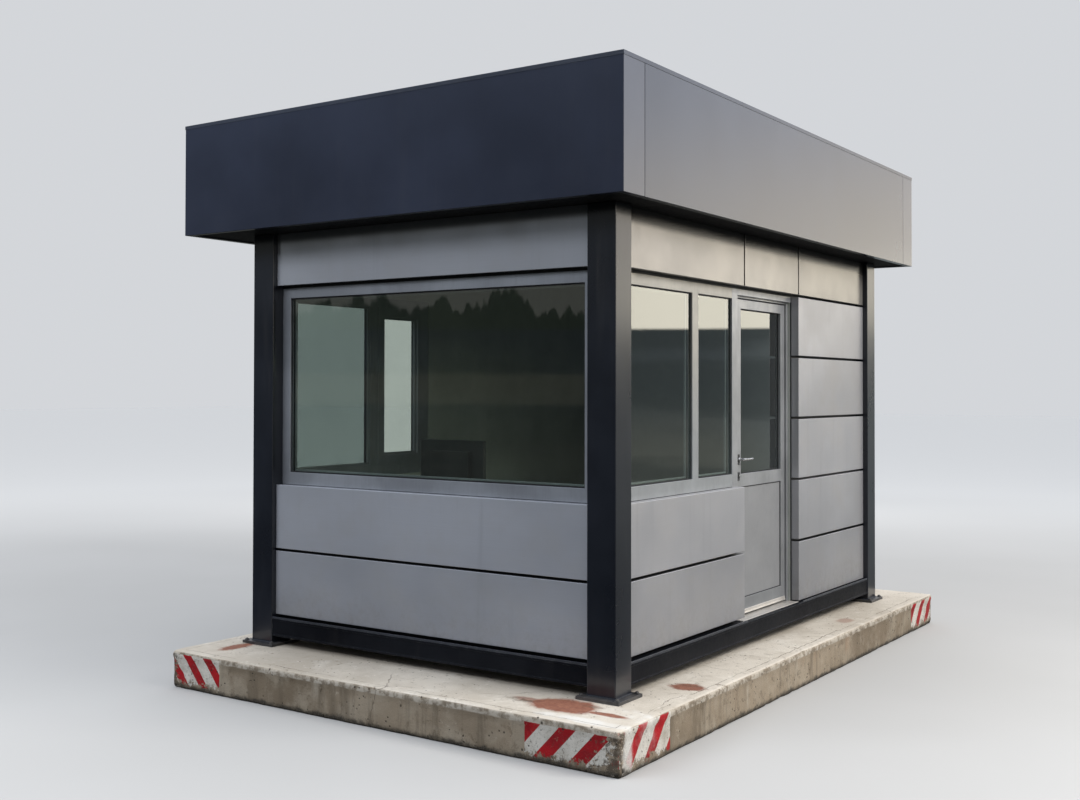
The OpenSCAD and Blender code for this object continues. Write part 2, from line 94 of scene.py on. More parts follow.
def make_world():
    w = bpy.data.worlds.new("studio")
    scene.world = w
    w.use_nodes = True
    t = w.node_tree
    t.nodes.clear()
    out = t.nodes.new("ShaderNodeOutputWorld")
    bg = t.nodes.new("ShaderNodeBackground")
    t.links.new(bg.outputs[0], out.inputs[0])
    tc = t.nodes.new("ShaderNodeTexCoord")
    sep = t.nodes.new("ShaderNodeSeparateXYZ")
    t.links.new(tc.outputs["Generated"], sep.inputs[0])

    def rng(sock, a, b, c, d, smooth=True):
        n = t.nodes.new("ShaderNodeMapRange")
        n.interpolation_type = "SMOOTHSTEP" if smooth else "LINEAR"
        t.links.new(sock, n.inputs[0])
        for i, v in enumerate((a, b, c, d)):
            n.inputs[1 + i].default_value = v
        return n.outputs[0]

    def mix(f, a, b):
        n = t.nodes.new("ShaderNodeMix")
        n.data_type = "RGBA"
        t.links.new(f, n.inputs[0])
        for s, v in ((n.inputs[6], a), (n.inputs[7], b)):
            if isinstance(v, tuple):
                s.default_value = (*v, 1)
            else:
                t.links.new(v, s)
        return n.outputs[2]

    dot = t.nodes.new("ShaderNodeVectorMath")
    dot.operation = "DOT_PRODUCT"
    t.links.new(tc.outputs["Generated"], dot.inputs[0])
    dot.inputs[1].default_value = (0.62, 0.78, 0.0)
    side = rng(dot.outputs["Value"], -0.30, 0.55, 0, 1)
    # near the horizon: shade towards the front, then a cream sky to the right that cools upwards
    low = mix(side, (0.215, 0.220, 0.200), (2.30, 2.15, 1.80))
    plat = mix(side, (0.205, 0.215, 0.215), (1.66, 1.51, 1.31))
    mid = mix(side, (0.24, 0.27, 0.32), (0.93, 0.98, 1.12))
    high = mix(side, (0.72, 0.78, 0.90), (1.02, 1.04, 1.08))
    sky = mix(rng(sep.outputs[2], 0.084, 0.104, 0, 1), low, plat)
    sky = mix(rng(sep.outputs[2], 0.110, 0.235, 0, 1), sky, mid)
    sky = mix(rng(sep.outputs[2], 0.28, 0.62, 0, 1), sky, high)
    dim_sky = t.nodes.new("ShaderNodeVectorMath")
    dim_sky.operation = "SCALE"
    t.links.new(sky, dim_sky.inputs[0])
    t.links.new(rng(sep.outputs[1], 0.880, 0.962, 1.17, 0.76), dim_sky.inputs["Scale"])
    upper = t.nodes.new("ShaderNodeMath")
    upper.operation = "MULTIPLY"
    t.links.new(rng(sep.outputs[2], 0.092, 0.106, 0, 1), upper.inputs[0])
    t.links.new(side, upper.inputs[1])
    sky = mix(upper.outputs[0], sky, dim_sky.outputs[0])
    lift_sky = t.nodes.new("ShaderNodeVectorMath")
    lift_sky.operation = "SCALE"
    t.links.new(sky, lift_sky.inputs[0])
    t.links.new(rng(sep.outputs[1], 0.880, 0.925, 1.18, 1.0), lift_sky.inputs["Scale"])
    under = t.nodes.new("ShaderNodeMath")
    under.operation = "MULTIPLY"
    t.links.new(rng(sep.outputs[2], 0.088, 0.098, 1, 0), under.inputs[0])
    t.links.new(side, under.inputs[1])
    sky = mix(under.outputs[0], sky, lift_sky.outputs[0])
    # dim ground with soft level bands, lighter lower down
    st = t.nodes.new("ShaderNodeVectorMath")
    st.operation = "MULTIPLY"
    t.links.new(tc.outputs["Generated"], st.inputs[0])
    st.inputs[1].default_value = (2.2, 2.2, 26.0)
    nz = t.nodes.new("ShaderNodeTexNoise")
    nz.inputs["Scale"].default_value = 1.6
    nz.inputs["Detail"].default_value = 4.0
    t.links.new(st.outputs[0], nz.inputs["Vector"])
    near = mix(side, (0.060, 0.064, 0.060), (0.235, 0.245, 0.222))
    far = mix(side, (0.046, 0.056, 0.062), (0.140, 0.163, 0.176))
    ground = mix(rng(sep.outputs[2], -0.055, 0.005, 0, 1), near, far)
    ground = mix(rng(sep.outputs[1], 0.905, 0.945, 0, 1), ground, (0.325, 0.365, 0.372))

    def calc(op, a, b):
        n = t.nodes.new("ShaderNodeMath")
        n.operation = op
        for k, v in enumerate((a, b)):
            if isinstance(v, (int, float)):
                n.inputs[k].default_value = v
            else:
                t.links.new(v, n.inputs[k])
        return n.outputs[0]

    slope = calc("DIVIDE", sep.outputs[0], calc("MAXIMUM", sep.outputs[1], 0.05))
    dusk = calc("MULTIPLY", rng(slope, 0.255, 0.280, 0, 1), rng(slope, 0.316, 0.334, 1, 0))
    dusk = calc("MULTIPLY", dusk, rng(sep.outputs[1], 0.5, 0.6, 0, 1))
    ground = mix(calc("MULTIPLY", dusk, 0.85), ground, (0.050, 0.057, 0.065))
    keep_sky = t.nodes.new("ShaderNodeVectorMath")
    keep_sky.operation = "SCALE"
    t.links.new(sky, keep_sky.inputs[0])
    t.links.new(calc("SUBTRACT", 1.0, calc("MULTIPLY", dusk, rng(sep.outputs[2], 0.080, 0.095, 0.45, 0.12))), keep_sky.inputs["Scale"])
    sky = keep_sky.outputs[0]
    tr = t.nodes.new("ShaderNodeVectorMath")
    tr.operation = "MULTIPLY"
    t.links.new(tc.outputs["Generated"], tr.inputs[0])
    tr.inputs[1].default_value = (1.0, 1.0, 0.12)
    tn = t.nodes.new("ShaderNodeTexNoise")
    tn.inputs["Scale"].default_value = 34.0
    tn.inputs["Detail"].default_value = 5.0
    tn.inputs["Roughness"].default_value = 0.62
    t.links.new(tr.outputs[0], tn.inputs["Vector"])
    wob = t.nodes.new("ShaderNodeMath")
    wob.operation = "MULTIPLY_ADD"
    t.links.new(tn.outputs[0], wob.inputs[0])
    wob.inputs[1].default_value = -0.10
    t.links.new(sep.outputs[2], wob.inputs[2])
    trees = rng(wob.outputs[0], 0.016, 0.011, 0, 1)
    ahead = rng(dot.outputs["Value"], -0.45, -0.70, 0, 1)
    both = t.nodes.new("ShaderNodeMath")
    both.operation = "MULTIPLY"
    t.links.new(trees, both.inputs[0])
    t.links.new(ahead, both.inputs[1])
    sky = mix(both.outputs[0], sky, (0.048, 0.060, 0.050))
    dim = mix(side, (0.028, 0.034, 0.036), (0.085, 0.100, 0.104))
    ground = mix(rng(nz.outputs[0], 0.46, 0.62, 0.0, 0.55), ground, dim)
    deep = mix(side, (0.036, 0.040, 0.040), (0.115, 0.120, 0.118))
    ground = mix(rng(sep.outputs[2], -0.160, -0.085, 1, 0), ground, deep)
    flat = t.nodes.new("ShaderNodeMath")
    flat.operation = "ABSOLUTE"
    t.links.new(sep.outputs[2], flat.inputs[0])
    wall = t.nodes.new("ShaderNodeMath")
    wall.operation = "MULTIPLY"
    t.links.new(rng(flat.outputs[0], 0.014, 0.010, 0, 1), wall.inputs[0])
    t.links.new(ahead, wall.inputs[1])
    ground = mix(wall.outputs[0], ground, (0.100, 0.104, 0.092))
    col = mix(rng(sep.outputs[2], 0.0455, 0.0485, 0, 1), ground, sky)
    lp = t.nodes.new("ShaderNodeLightPath")
    col = mix(lp.outputs["Is Camera Ray"], col, BACKDROP)
    t.links.new(col, bg.inputs[0])
    bg.inputs[1].default_value = 1.0


def area(name, loc, target, size, power, color=(1, 1, 1), glossy=False):
    d = bpy.data.lights.new(name, "AREA")
    d.shape = "RECTANGLE"
    d.size, d.size_y = size
    d.energy = power
    d.color = color
    o = bpy.data.objects.new(name, d)
    scene.collection.objects.link(o)
    o.location = loc
    o.rotation_mode = "QUATERNION"
    o.rotation_quaternion = (Vector(target) - Vector(loc)).to_track_quat("-Z", "Y")
    o.visible_glossy = glossy
    o.visible_camera = False
    return o


make_world()
area("key_soft", (9.6, 0.6, 8.0), (0, 0, 1.4), (5, 3.6), 1130, (1.0, 0.980, 0.958))
area("top_soft", (-1.0, -2.0, 10.5), (0, 0, 0.5), (9, 9), 330, (0.93, 0.96, 1.0))
area("front_soft", (-3.4, -9.6, 6.6), (0, 0, 1.4), (7, 2.2), 600, (0.87, 0.92, 1.0))
area("back_soft", (-6.0, 10.0, 5.0), (0, 0, 1.5), (7, 5), 200, (0.97, 0.98, 1.0))


# ------------------------------------------------------------------ shading
class Mat:
    """A small builder for a procedural material."""

    def __init__(self, name):
        self.m = bpy.data.materials.new(name)
        self.m.use_nodes = True
        self.t = self.m.node_tree
        self.t.nodes.clear()
        self.out = self.t.nodes.new("ShaderNodeOutputMaterial")
        self.pos = self.t.nodes.new("ShaderNodeTexCoord").outputs["Object"]
        self._sep = None

    def put(self, s, v):
        if isinstance(v, bpy.types.NodeSocket):
            self.t.links.new(v, s)
        elif isinstance(v, tuple) and len(v) == 3 and s.type == "RGBA":
            s.default_value = (*v, 1)
        else:
            s.default_value = v

    def axis(self, k):
        if self._sep is None:
            self._sep = self.t.nodes.new("ShaderNodeSeparateXYZ")
            self.put(self._sep.inputs[0], self.pos)
        return self._sep.outputs[k]

    def math(self, op, a, b=None, c=None, clamp=False):
        n = self.t.nodes.new("ShaderNodeMath")
        n.operation = op
        n.use_clamp = clamp
        for i, v in enumerate((a, b, c)):
            if v is not None:
                self.put(n.inputs[i], v)
        return n.outputs[0]

    def add(self, a, b):
        return self.math("ADD", a, b)

    def mul(self, a, b):
        return self.math("MULTIPLY", a, b)

    def stretch(self, sc, vec=None):
        n = self.t.nodes.new("ShaderNodeVectorMath")
        n.operation = "MULTIPLY"
        self.put(n.inputs[0], vec or self.pos)
        n.inputs[1].default_value = sc
        return n.outputs[0]

    def noise(self, scale, detail=3.0, rough=0.55, dist=0.0, sc=None, vec=None, colour=False):
        n = self.t.nodes.new("ShaderNodeTexNoise")
        v = self.stretch(sc, vec) if sc else (vec or self.pos)
        self.put(n.inputs["Vector"], v)
        n.inputs["Scale"].default_value = scale
        n.inputs["Detail"].default_value = detail
        n.inputs["Roughness"].default_value = rough
        n.inputs["Distortion"].default_value = dist
        return n.outputs["Color" if colour else 0]

    def voronoi(self, scale, feature="F1", rand=1.0, vec=None, sc=None):
        n = self.t.nodes.new("ShaderNodeTexVoronoi")
        n.feature = feature
        v = self.stretch(sc, vec) if sc else (vec or self.pos)
        self.put(n.inputs["Vector"], v)
        n.inputs["Scale"].default_value = scale
        n.inputs["Randomness"].default_value = rand
        return n.outputs["Distance"]

    def rng(self, x, a, b, c=0.0, d=1.0, smooth=True):
        n = self.t.nodes.new("ShaderNodeMapRange")
        n.interpolation_type = "SMOOTHSTEP" if smooth else "LINEAR"
        n.clamp = True
        self.put(n.inputs[0], x)
        for i, v in enumerate((a, b, c, d)):
            self.put(n.inputs[1 + i], v)
        return n.outputs[0]

    def mix(self, f, a, b, mode="MIX"):
        n = self.t.nodes.new("ShaderNodeMix")
        n.data_type = "RGBA"
        n.blend_type = mode
        self.put(n.inputs[0], f)
        self.put(n.inputs[6], a)
        self.put(n.inputs[7], b)
        return n.outputs[2]

    def edge(self, radius=0.004, lo=0.02, hi=0.35):
        """1 along an outer edge, 0 on flats."""
        b = self.t.nodes.new("ShaderNodeBevel")
        b.samples = 4
        b.inputs["Radius"].default_value = radius
        g = self.t.nodes.new("ShaderNodeNewGeometry")
        d = self.t.nodes.new("ShaderNodeVectorMath")
        d.operation = "DOT_PRODUCT"
        self.put(d.inputs[0], b.outputs[0])
        self.put(d.inputs[1], g.outputs["Normal"])
        inv = self.math("SUBTRACT", 1.0, d.outputs["Value"])
        return self.rng(inv, lo * 0.3, hi)

    def tone(self, name="tone"):
        n = self.t.nodes.new("ShaderNodeAttribute")
        n.attribute_name = name
        return n.outputs["Fac"]

    def bump(self, height, strength=0.3, dist=0.002):
        n = self.t.nodes.new("ShaderNodeBump")
        n.inputs["Strength"].default_value = strength
        n.inputs["Distance"].default_value = dist
        self.put(n.inputs["Height"], height)
        return n.outputs[0]

    def done(self, color, rough=0.5, metal=0.0, normal=None, spec=0.5, ior=1.5, coat=0.0, coat_rough=0.1):
        p = self.t.nodes.new("ShaderNodeBsdfPrincipled")
        self.put(p.inputs["Base Color"], color)
        self.put(p.inputs["Roughness"], rough)
        self.put(p.inputs["Metallic"], metal)
        p.inputs["Specular IOR Level"].default_value = spec
        p.inputs["IOR"].default_value = ior
        p.inputs["Coat Weight"].default_value = coat
        p.inputs["Coat Roughness"].default_value = coat_rough
        if normal is not None:
            self.put(p.inputs["Normal"], normal)
        self.t.links.new(p.outputs[0], self.out.inputs[0])
        return self.m


def painted(name, base, dust=(0.30, 0.27, 0.23), dust_low=0.5, dust_amount=0.35, rough=0.30, coat=0.35, wear=0.35, scale=1.0, dust_at=0.25, streaks=0.04, peel_at=0.05, specks=0.25, smooth=False, spec=0.5):
    """Dark coated steel: mottled tone, dust that thins out upwards, fine orange peel, thin worn edges."""
    m = Mat(name)
    big = m.noise(1.7 * scale, 4, 0.6)
    fine = m.noise(55, 3, 0.6)
    streak = m.noise(9, 4, 0.6, 0.3, sc=(1.0, 1.0, 0.08))
    col = m.mix(m.rng(big, 0.3, 0.7, 0.0, 1.0), base, tuple(min(1, c * 1.45 + 0.004) for c in base))
    col = m.mix(m.mul(m.rng(streak, 0.52, 0.78), streaks), col, dust)
    low = m.rng(m.axis(2), dust_at, dust_at + dust_low, 1.0, 0.0)
    dusty = m.mul(m.mul(low, m.rng(m.noise(5, 5, 0.65), 0.34, 0.74)), dust_amount)
    speck = m.mul(m.rng(m.noise(150, 2, 0.5), 0.66, 0.76), m.rng(big, 0.4, 0.65, 0.02, 0.16 * specks))
    col = m.mix(dusty, col, dust)
    col = m.mix(speck, col, dust)
    e = m.mul(m.edge(0.004), m.rng(m.noise(26, 4, 0.7), 0.42, 0.62, 0.15, 1.0))
    col = m.mix(m.mul(e, wear), col, (0.30, 0.31, 0.33))
    r = m.add(m.rng(big, 0.3, 0.7, rough - 0.01, rough + 0.02) if smooth else m.rng(fine, 0.3, 0.7, rough - 0.04, rough + 0.07), m.mul(dusty, 0.15 if smooth else 0.6))
    peel = m.mul(m.noise(4.5, 2, 0.5), 3.0) if smooth else m.add(m.mul(m.noise(330, 2, 0.5), 0.5), m.mul(m.noise(30, 2, 0.5), 0.8))
    return m.done(col, r, 0.0, m.bump(peel, peel_at, 0.0012), spec=spec, coat=coat, coat_rough=0.14)


def tray_metal(name, base, warm=(0.40, 0.37, 0.32), seam=0.0):
    """Silver coated sheet: per tray tone, rolling grain, rain streaks, splash dirt near the foot, painted shade in the
    joints and a painted shade strip under the soffit.
    """
    m = Mat(name)
    tone = m.tone()
    big = m.noise(0.9, 3, 0.5, sc=(1, 1, 1.6))
    cloud = m.noise(3.4, 4, 0.6)
    grain = m.noise(60, 2, 0.6, sc=(0.05, 0.05, 6.0))
    streak = m.noise(14, 5, 0.62, 0.25, sc=(1.0, 1.0, 0.06))
    dark = tuple(c * 0.80 for c in base)
    col = m.mix(m.rng(big, 0.30, 0.70), dark, base)
    col = m.mix(m.mul(m.rng(cloud, 0.40, 0.72), 0.22), col, warm)
    col = m.mix(m.mul(m.rng(tone, 0, 1, 0.0, 0.30, smooth=False), 1.0), col, tuple(min(1, c * 1.35) for c in base))
    col = m.mix(m.mul(m.rng(streak, 0.54, 0.80), 0.20), col, tuple(c * 0.5 for c in base))
    col = m.mix(m.mul(m.rng(grain, 0.35, 0.65), 0.06), col, tuple(c * 0.6 for c in base))
    splash = m.mul(m.rng(m.axis(2), 0.40, 0.72, 1.0, 0.0), m.rng(m.noise(11, 5, 0.7), 0.40, 0.72))
    col = m.mix(m.mul(splash, 0.32), col, (0.20, 0.17, 0.13))
    spots = m.rng(m.voronoi(38), 0.0, 0.09, 1.0, 0.0)
    spots = m.mul(spots, m.rng(m.noise(6, 3, 0.6), 0.58, 0.70))
    col = m.mix(m.mul(spots, 0.22), col, (0.10, 0.09, 0.08))
    e = m.mul(m.edge(0.004), m.rng(m.noise(30, 3, 0.6), 0.3, 0.7, 0.4, 1.0))
    col = m.mix(m.mul(e, 0.35), col, (0.72, 0.73, 0.75))
    col = m.mix(m.rng(m.axis(2), 0.38, 0.66, 0.24, 0.0), col, tuple(c * 0.35 for c in base))
    high = m.rng(m.axis(2), 2.528, 2.540)
    geo = m.t.nodes.new("ShaderNodeNewGeometry")
    n = m.t.nodes.new("ShaderNodeSeparateXYZ")
    m.put(n.inputs[0], geo.outputs["Normal"])
    # painted shade: the trays' top and bottom faces inside the joints are darkened almost to black, except the ledge
    # under the window sill
    flat = m.rng(m.math("ABSOLUTE", n.outputs[2]), 0.78, 0.95)
    ledge = m.mul(m.math("GREATER_THAN", m.axis(2), 1.235), m.math("LESS_THAN", m.axis(2), 1.275))
    col = m.mix(m.mul(m.mul(flat, m.math("SUBTRACT", 1.0, ledge)), 0.88), col, (0.020, 0.020, 0.021))
    if seam:
        # painted shade: on the top row of trays the upright end faces inside the joints are darkened almost to black
        inside = m.mul(m.rng(m.math("ABSOLUTE", n.outputs[1]), 0.22, 0.50), high)
        col = m.mix(m.mul(inside, 0.92 * seam), col, (0.016, 0.016, 0.017))
    r = m.add(m.rng(cloud, 0.3, 0.7, 0.31, 0.40), m.mul(splash, 0.25))
    # painted shade: a dark strip at the top of the trays under the soffit stands in for the soffit's shadow and its
    # dark reflection in the sheet
    soffit_shade_z = m.add(m.axis(2), m.mul(m.math("SUBTRACT", m.noise(5, 3, 0.5, sc=(1, 1, 0.3)), 0.5), 0.008))
    if seam:
        col = m.mix(m.mul(high, m.rng(m.axis(1), -1.2, 1.6, 0.74, 0.92)), col, (0.276, 0.258, 0.231))
    col = m.mix(m.rng(soffit_shade_z, 2.772, 2.812, 0.0, 0.82) if seam else m.rng(soffit_shade_z, 2.800, 2.840, 0.0, 0.58), col, (0.030, 0.030, 0.032))
    r = m.math("SUBTRACT", r, m.mul(high, 0.13))
    h = m.add(m.mul(m.noise(420, 2, 0.5), 0.35), m.add(m.mul(m.noise(7, 2, 0.5), 1.2), m.mul(grain, 0.15)))
    return m.done(col, r, 0.55, m.bump(h, 0.06, 0.002), spec=0.5)


def aluminium(name, base, metal=0.55, rough=0.34, grime=0.5, cloud=1.0, low=None, span=(1.45, 2.40)):
    m = Mat(name)
    big = m.noise(2.3, 4, 0.6)
    line = m.noise(90, 2, 0.5, sc=(1.0, 1.0, 0.04))
    col = m.mix(m.rng(big, 0.3, 0.7), tuple(c * (1 - 0.18 * cloud) for c in base), tuple(min(1, c * (1 + 0.12 * cloud)) for c in base))
    if low is not None:
        cool = m.mix(m.rng(big, 0.3, 0.7), tuple(c * (1 - 0.18 * cloud) for c in low), tuple(min(1, c * (1 + 0.12 * cloud)) for c in low))
        col = m.mix(m.rng(m.axis(2), span[0], span[1]), cool, col)
    col = m.mix(m.mul(m.rng(line, 0.3, 0.7), 0.08), col, tuple(c * 0.5 for c in base))
    g = m.mul(m.rng(m.noise(8, 5, 0.68, 0.2, sc=(1, 1, 0.25)), 0.50, 0.80), grime)
    col = m.mix(m.mul(g, 0.45), col, (0.13, 0.125, 0.11))
    e = m.mul(m.edge(0.0035), m.rng(m.noise(22, 3, 0.6), 0.25, 0.6, 0.5, 1.0))
    col = m.mix(m.mul(e, 0.55), col, (0.78, 0.79, 0.80))
    r = m.add(m.rng(m.noise(18, 3, 0.6), 0.3, 0.7, rough - 0.05, rough + 0.08), m.mul(g, 0.15))
    h = m.add(m.mul(m.noise(380, 2, 0.5), 0.4), m.mul(line, 0.3))
    return m.done(col, r, metal, m.bump(h, 0.08, 0.0012))


def rubber():
    m = Mat("gasket_rubber")
    n = m.noise(24, 4, 0.6)
    col = m.mix(m.rng(n, 0.3, 0.7), (0.010, 0.010, 0.011), (0.026, 0.026, 0.027))
    col = m.mix(m.mul(m.rng(m.noise(9, 4, 0.6), 0.55, 0.8), 0.25), col, (0.12, 0.11, 0.10))
    return m.done(col, m.rng(n, 0.3, 0.7, 0.55, 0.8), 0.0, m.bump(m.noise(260, 2, 0.5), 0.15, 0.001))


def glass(name, tint=(0.845, 0.890, 0.850), ior=2.0, split=None):
    """A pane that lets lamps through: tinted clear part and a mirror part that grows towards grazing."""
    m = Mat(name)
    t = m.t
    tr = t.nodes.new("ShaderNodeBsdfTransparent")
    gl = t.nodes.new("ShaderNodeBsdfGlossy")
    fr = t.nodes.new("ShaderNodeFresnel")
    geo = t.nodes.new("ShaderNodeNewGeometry")
    film = m.rng(m.noise(1.6, 5, 0.7), 0.35, 0.75)
    drips = m.rng(m.noise(16, 5, 0.65, 0.3, sc=(1, 1, 0.10)), 0.56, 0.82)
    clear, worn = tint, tuple(c * 0.72 for c in tint)
    if split is not None:
        # the sash beyond the split has a clear pane
        z = m.rng(m.axis(1), split - 0.02, split)
        clear = m.mix(z, clear, (0.985, 0.995, 0.970))
        worn = m.mix(z, worn, (0.86, 0.87, 0.85))
    m.put(tr.inputs[0], m.mix(m.add(m.mul(film, 0.10), m.mul(drips, 0.08)), clear, worn))
    gl.inputs[0].default_value = (0.93, 0.95, 0.95, 1)
    m.put(gl.inputs["Roughness"], m.rng(film, 0, 1, 0.004, 0.03))
    wave = m.bump(m.noise(0.8, 1, 0.4), 0.02, 0.02)
    m.put(gl.inputs["Normal"], wave)
    fr.inputs["IOR"].default_value = ior
    f = m.mul(m.mul(fr.outputs[0], 1.5), m.math("SUBTRACT", 1.0, geo.outputs["Backfacing"]))
    mx = t.nodes.new("ShaderNodeMixShader")
    m.put(mx.inputs[0], m.math("MINIMUM", f, 1.0))
    t.links.new(tr.outputs[0], mx.inputs[1])
    t.links.new(gl.outputs[0], mx.inputs[2])
    t.links.new(mx.outputs[0], m.out.inputs[0])
    return m.m


def concrete():
    m = Mat("weathered_concrete")
    x, y, z = m.axis(0), m.axis(1), m.axis(2)
    geo = m.t.nodes.new("ShaderNodeNewGeometry")
    sepn = m.t.nodes.new("ShaderNodeSeparateXYZ")
    m.put(sepn.inputs[0], geo.outputs["Normal"])
    topm = m.rng(sepn.outputs[2], 0.45, 0.85)
    big = m.noise(0.9, 5, 0.6, 0.2)
    mid = m.noise(4.2, 6, 0.62)
    fine = m.noise(38, 5, 0.7)
    grit = m.noise(190, 3, 0.6)
    side = m.mix(m.rng(big, 0.36, 0.64), (0.182, 0.142, 0.098), (0.308, 0.248, 0.178))
    side = m.mix(m.mul(m.rng(mid, 0.42, 0.66), 0.6), side, (0.385, 0.330, 0.252))
    blot = m.noise(15, 6, 0.74, 0.2)
    side = m.mix(m.mul(m.rng(blot, 0.55, 0.66), 0.50), side, (0.105, 0.078, 0.050))
    side = m.mix(m.mul(m.rng(blot, 0.40, 0.30), 0.45), side, (0.500, 0.445, 0.360))
    streak = m.noise(11, 5, 0.65, 0.35, sc=(1.0, 1.0, 0.10))
    side = m.mix(m.mul(m.rng(streak, 0.48, 0.68), 0.60), side, (0.118, 0.094, 0.066))
    pale = m.mul(m.rng(m.noise(9, 5, 0.66, 0.3, sc=(1.0, 1.0, 0.14)), 0.56, 0.72), m.rng(m.noise(1.7, 3, 0.6), 0.42, 0.60))
    side = m.mix(m.mul(pale, 0.55), side, (0.46, 0.42, 0.345))
    rust = m.mul(m.rng(m.noise(5.2, 4, 0.6, 0.4, sc=(1, 1, 0.22)), 0.60, 0.76), m.rng(z, 0.02, 0.16))
    side = m.mix(m.mul(rust, 0.35), side, (0.30, 0.17, 0.09))
    top = m.mix(m.rng(big, 0.34, 0.66), (0.425, 0.374, 0.303), (0.595, 0.540, 0.457))
    top = m.mix(m.mul(m.rng(mid, 0.48, 0.70), 0.55), top, (0.430, 0.378, 0.305))
    top = m.mix(m.mul(m.rng(m.noise(2.2, 6, 0.7, 0.5), 0.52, 0.72), 0.6), top, (0.690, 0.645, 0.565))
    smut = m.mul(m.rng(m.noise(17, 6, 0.75, 0.3), 0.56, 0.68), m.rng(m.noise(1.9, 3, 0.6), 0.44, 0.60))
    top = m.mix(m.mul(smut, 0.75), top, (0.165, 0.130, 0.095))
    top = m.mix(m.mul(m.rng(blot, 0.56, 0.66), 0.30), top, (0.300, 0.250, 0.190))
    top = m.mix(m.mul(m.rng(blot, 0.41, 0.31), 0.40), top, (0.780, 0.740, 0.670))
    col = m.mix(topm, side, top)
    # lighter cast strip along the top of the faces
    strip = m.rng(m.add(z, m.mul(m.math("SUBTRACT", mid, 0.5), 0.02)), 0.190, 0.198)
    col = m.mix(m.mul(m.mul(strip, m.math("SUBTRACT", 1.0, topm)), 0.80), col, m.mix(m.rng(m.noise(19, 6, 0.72), 0.40, 0.58), (0.205, 0.168, 0.124), (0.505, 0.455, 0.380)))
    # hazard stripes, painted near the corners
    tot = None
    whites = None
    wob = m.mul(m.math("SUBTRACT", m.noise(13, 4, 0.6), 0.5), 0.010)
    X0, X1, Y0, Y1 = -1.550, 1.655, -2.5875, 2.5875

    def zone(u, lo, hi, face, slope, start, period, red, ztop):
        nonlocal tot, whites
        a = m.math("GREATER_THAN", m.add(u, wob), lo)
        b = m.math("LESS_THAN", m.add(u, wob), hi)
        h = m.math("LESS_THAN", m.add(z, m.mul(wob, 0.9)), ztop)
        on = m.mul(m.mul(a, b), m.mul(h, face))
        s = m.math("SUBTRACT", u, m.mul(z, slope))
        s = m.add(m.math("SUBTRACT", s, start), m.mul(wob, 0.35))
        k = m.math("FLOORED_MODULO", s, period)
        r = m.rng(k, red - 0.0015, red + 0.0015, 1.0, 0.0, smooth=False)
        r = m.mul(r, on)
        tot = r if tot is None else m.math("MAXIMUM", tot, r)
        whites = on if whites is None else m.math("MAXIMUM", whites, on)

    def near(c, v, tol=0.045):
        return m.math("COMPARE", c, v, tol)

    side_only = m.math("LESS_THAN", sepn.outputs[2], 0.55)
    faces_x = m.math("GREATER_THAN", m.math("ABSOLUTE", sepn.outputs[0]), m.math("ABSOLUTE", sepn.outputs[1]))
    along, across = m.mul(side_only, m.math("SUBTRACT", 1.0, faces_x)), m.mul(side_only, faces_x)
    ff, fb = m.mul(near(y, Y0), along), m.mul(near(y, Y1), along)
    fr, fl = m.mul(near(x, X1), across), m.mul(near(x, X0), across)
    zone(x, 1.102, 1.70, ff, 0.92, 1.125, 0.204, 0.097, 0.199)
    zone(x, -1.60, -1.120, ff, -0.80, -1.270, 0.177, 0.077, 0.215)
    zone(y, -2.70, -2.048, fr, 0.88, -2.590, 0.229, 0.099, 0.226)
    zone(y, 2.045, 2.70, fr, 0.88, 2.110, 0.224, 0.095, 0.215)
    zone(x, 1.13, 1.70, fb, -0.90, 1.16, 0.200, 0.095, 0.212)
    zone(x, -1.60, -1.06, fb, 0.90, -1.50, 0.200, 0.095, 0.205)
    zone(y, -2.70, -2.06, fl, -0.88, -2.52, 0.215, 0.097, 0.214)
    zone(y, 2.03, 2.70, fl, 0.88, 2.05, 0.215, 0.097, 0.208)
    # the paint wears off at the foot, at the arris and in pits
    chip = m.add(m.mul(m.noise(24, 6, 0.75), 0.75), m.mul(m.noise(90, 4, 0.7), 0.25))
    lowz = m.rng(z, 0.005, 0.085, 0.20, 0.0)
    crn = m.math("MAXIMUM", m.math("MAXIMUM", m.rng(x, X1 - 0.150, X1 - 0.010), m.rng(x, X0 + 0.10, X0 + 0.01)), 0.0)
    crn2 = m.math("MAXIMUM", m.rng(y, Y0 + 0.130, Y0 + 0.01), m.rng(y, Y1 - 0.08, Y1 - 0.01))
    worn = m.add(m.add(chip, lowz), m.mul(m.mul(crn, crn2), 0.14))
    keep = m.rng(worn, 0.585, 0.625, 1.0, 0.0)
    dirtp = m.rng(m.noise(7, 5, 0.7), 0.40, 0.75)
    white = m.mix(m.mul(dirtp, 0.70), (0.625, 0.588, 0.520), (0.33, 0.29, 0.23))
    white = m.mix(m.mul(m.rng(m.noise(60, 5, 0.75), 0.54, 0.66), 0.6), white, (0.24, 0.20, 0.15))
    red = m.mix(m.rng(m.noise(9, 5, 0.7), 0.35, 0.7), (0.400, 0.011, 0.016), (0.235, 0.010, 0.014))
    red = m.mix(m.mul(m.rng(fine, 0.55, 0.75), 0.4), red, (0.42, 0.13, 0.12))
    paint = m.mix(tot, white, red)
    col = m.mix(m.mul(whites, keep), col, paint)
    # dirt ground into the corners and along the arris of the stripes
    soil = m.rng(m.add(m.noise(34, 6, 0.78), m.add(m.mul(m.mul(crn, crn2), 0.15), m.rng(z, 0.0, 0.12, 0.05, 0.0))), 0.585, 0.650)
    col = m.mix(m.mul(m.mul(soil, whites), 0.85), col, (0.085, 0.066, 0.048))
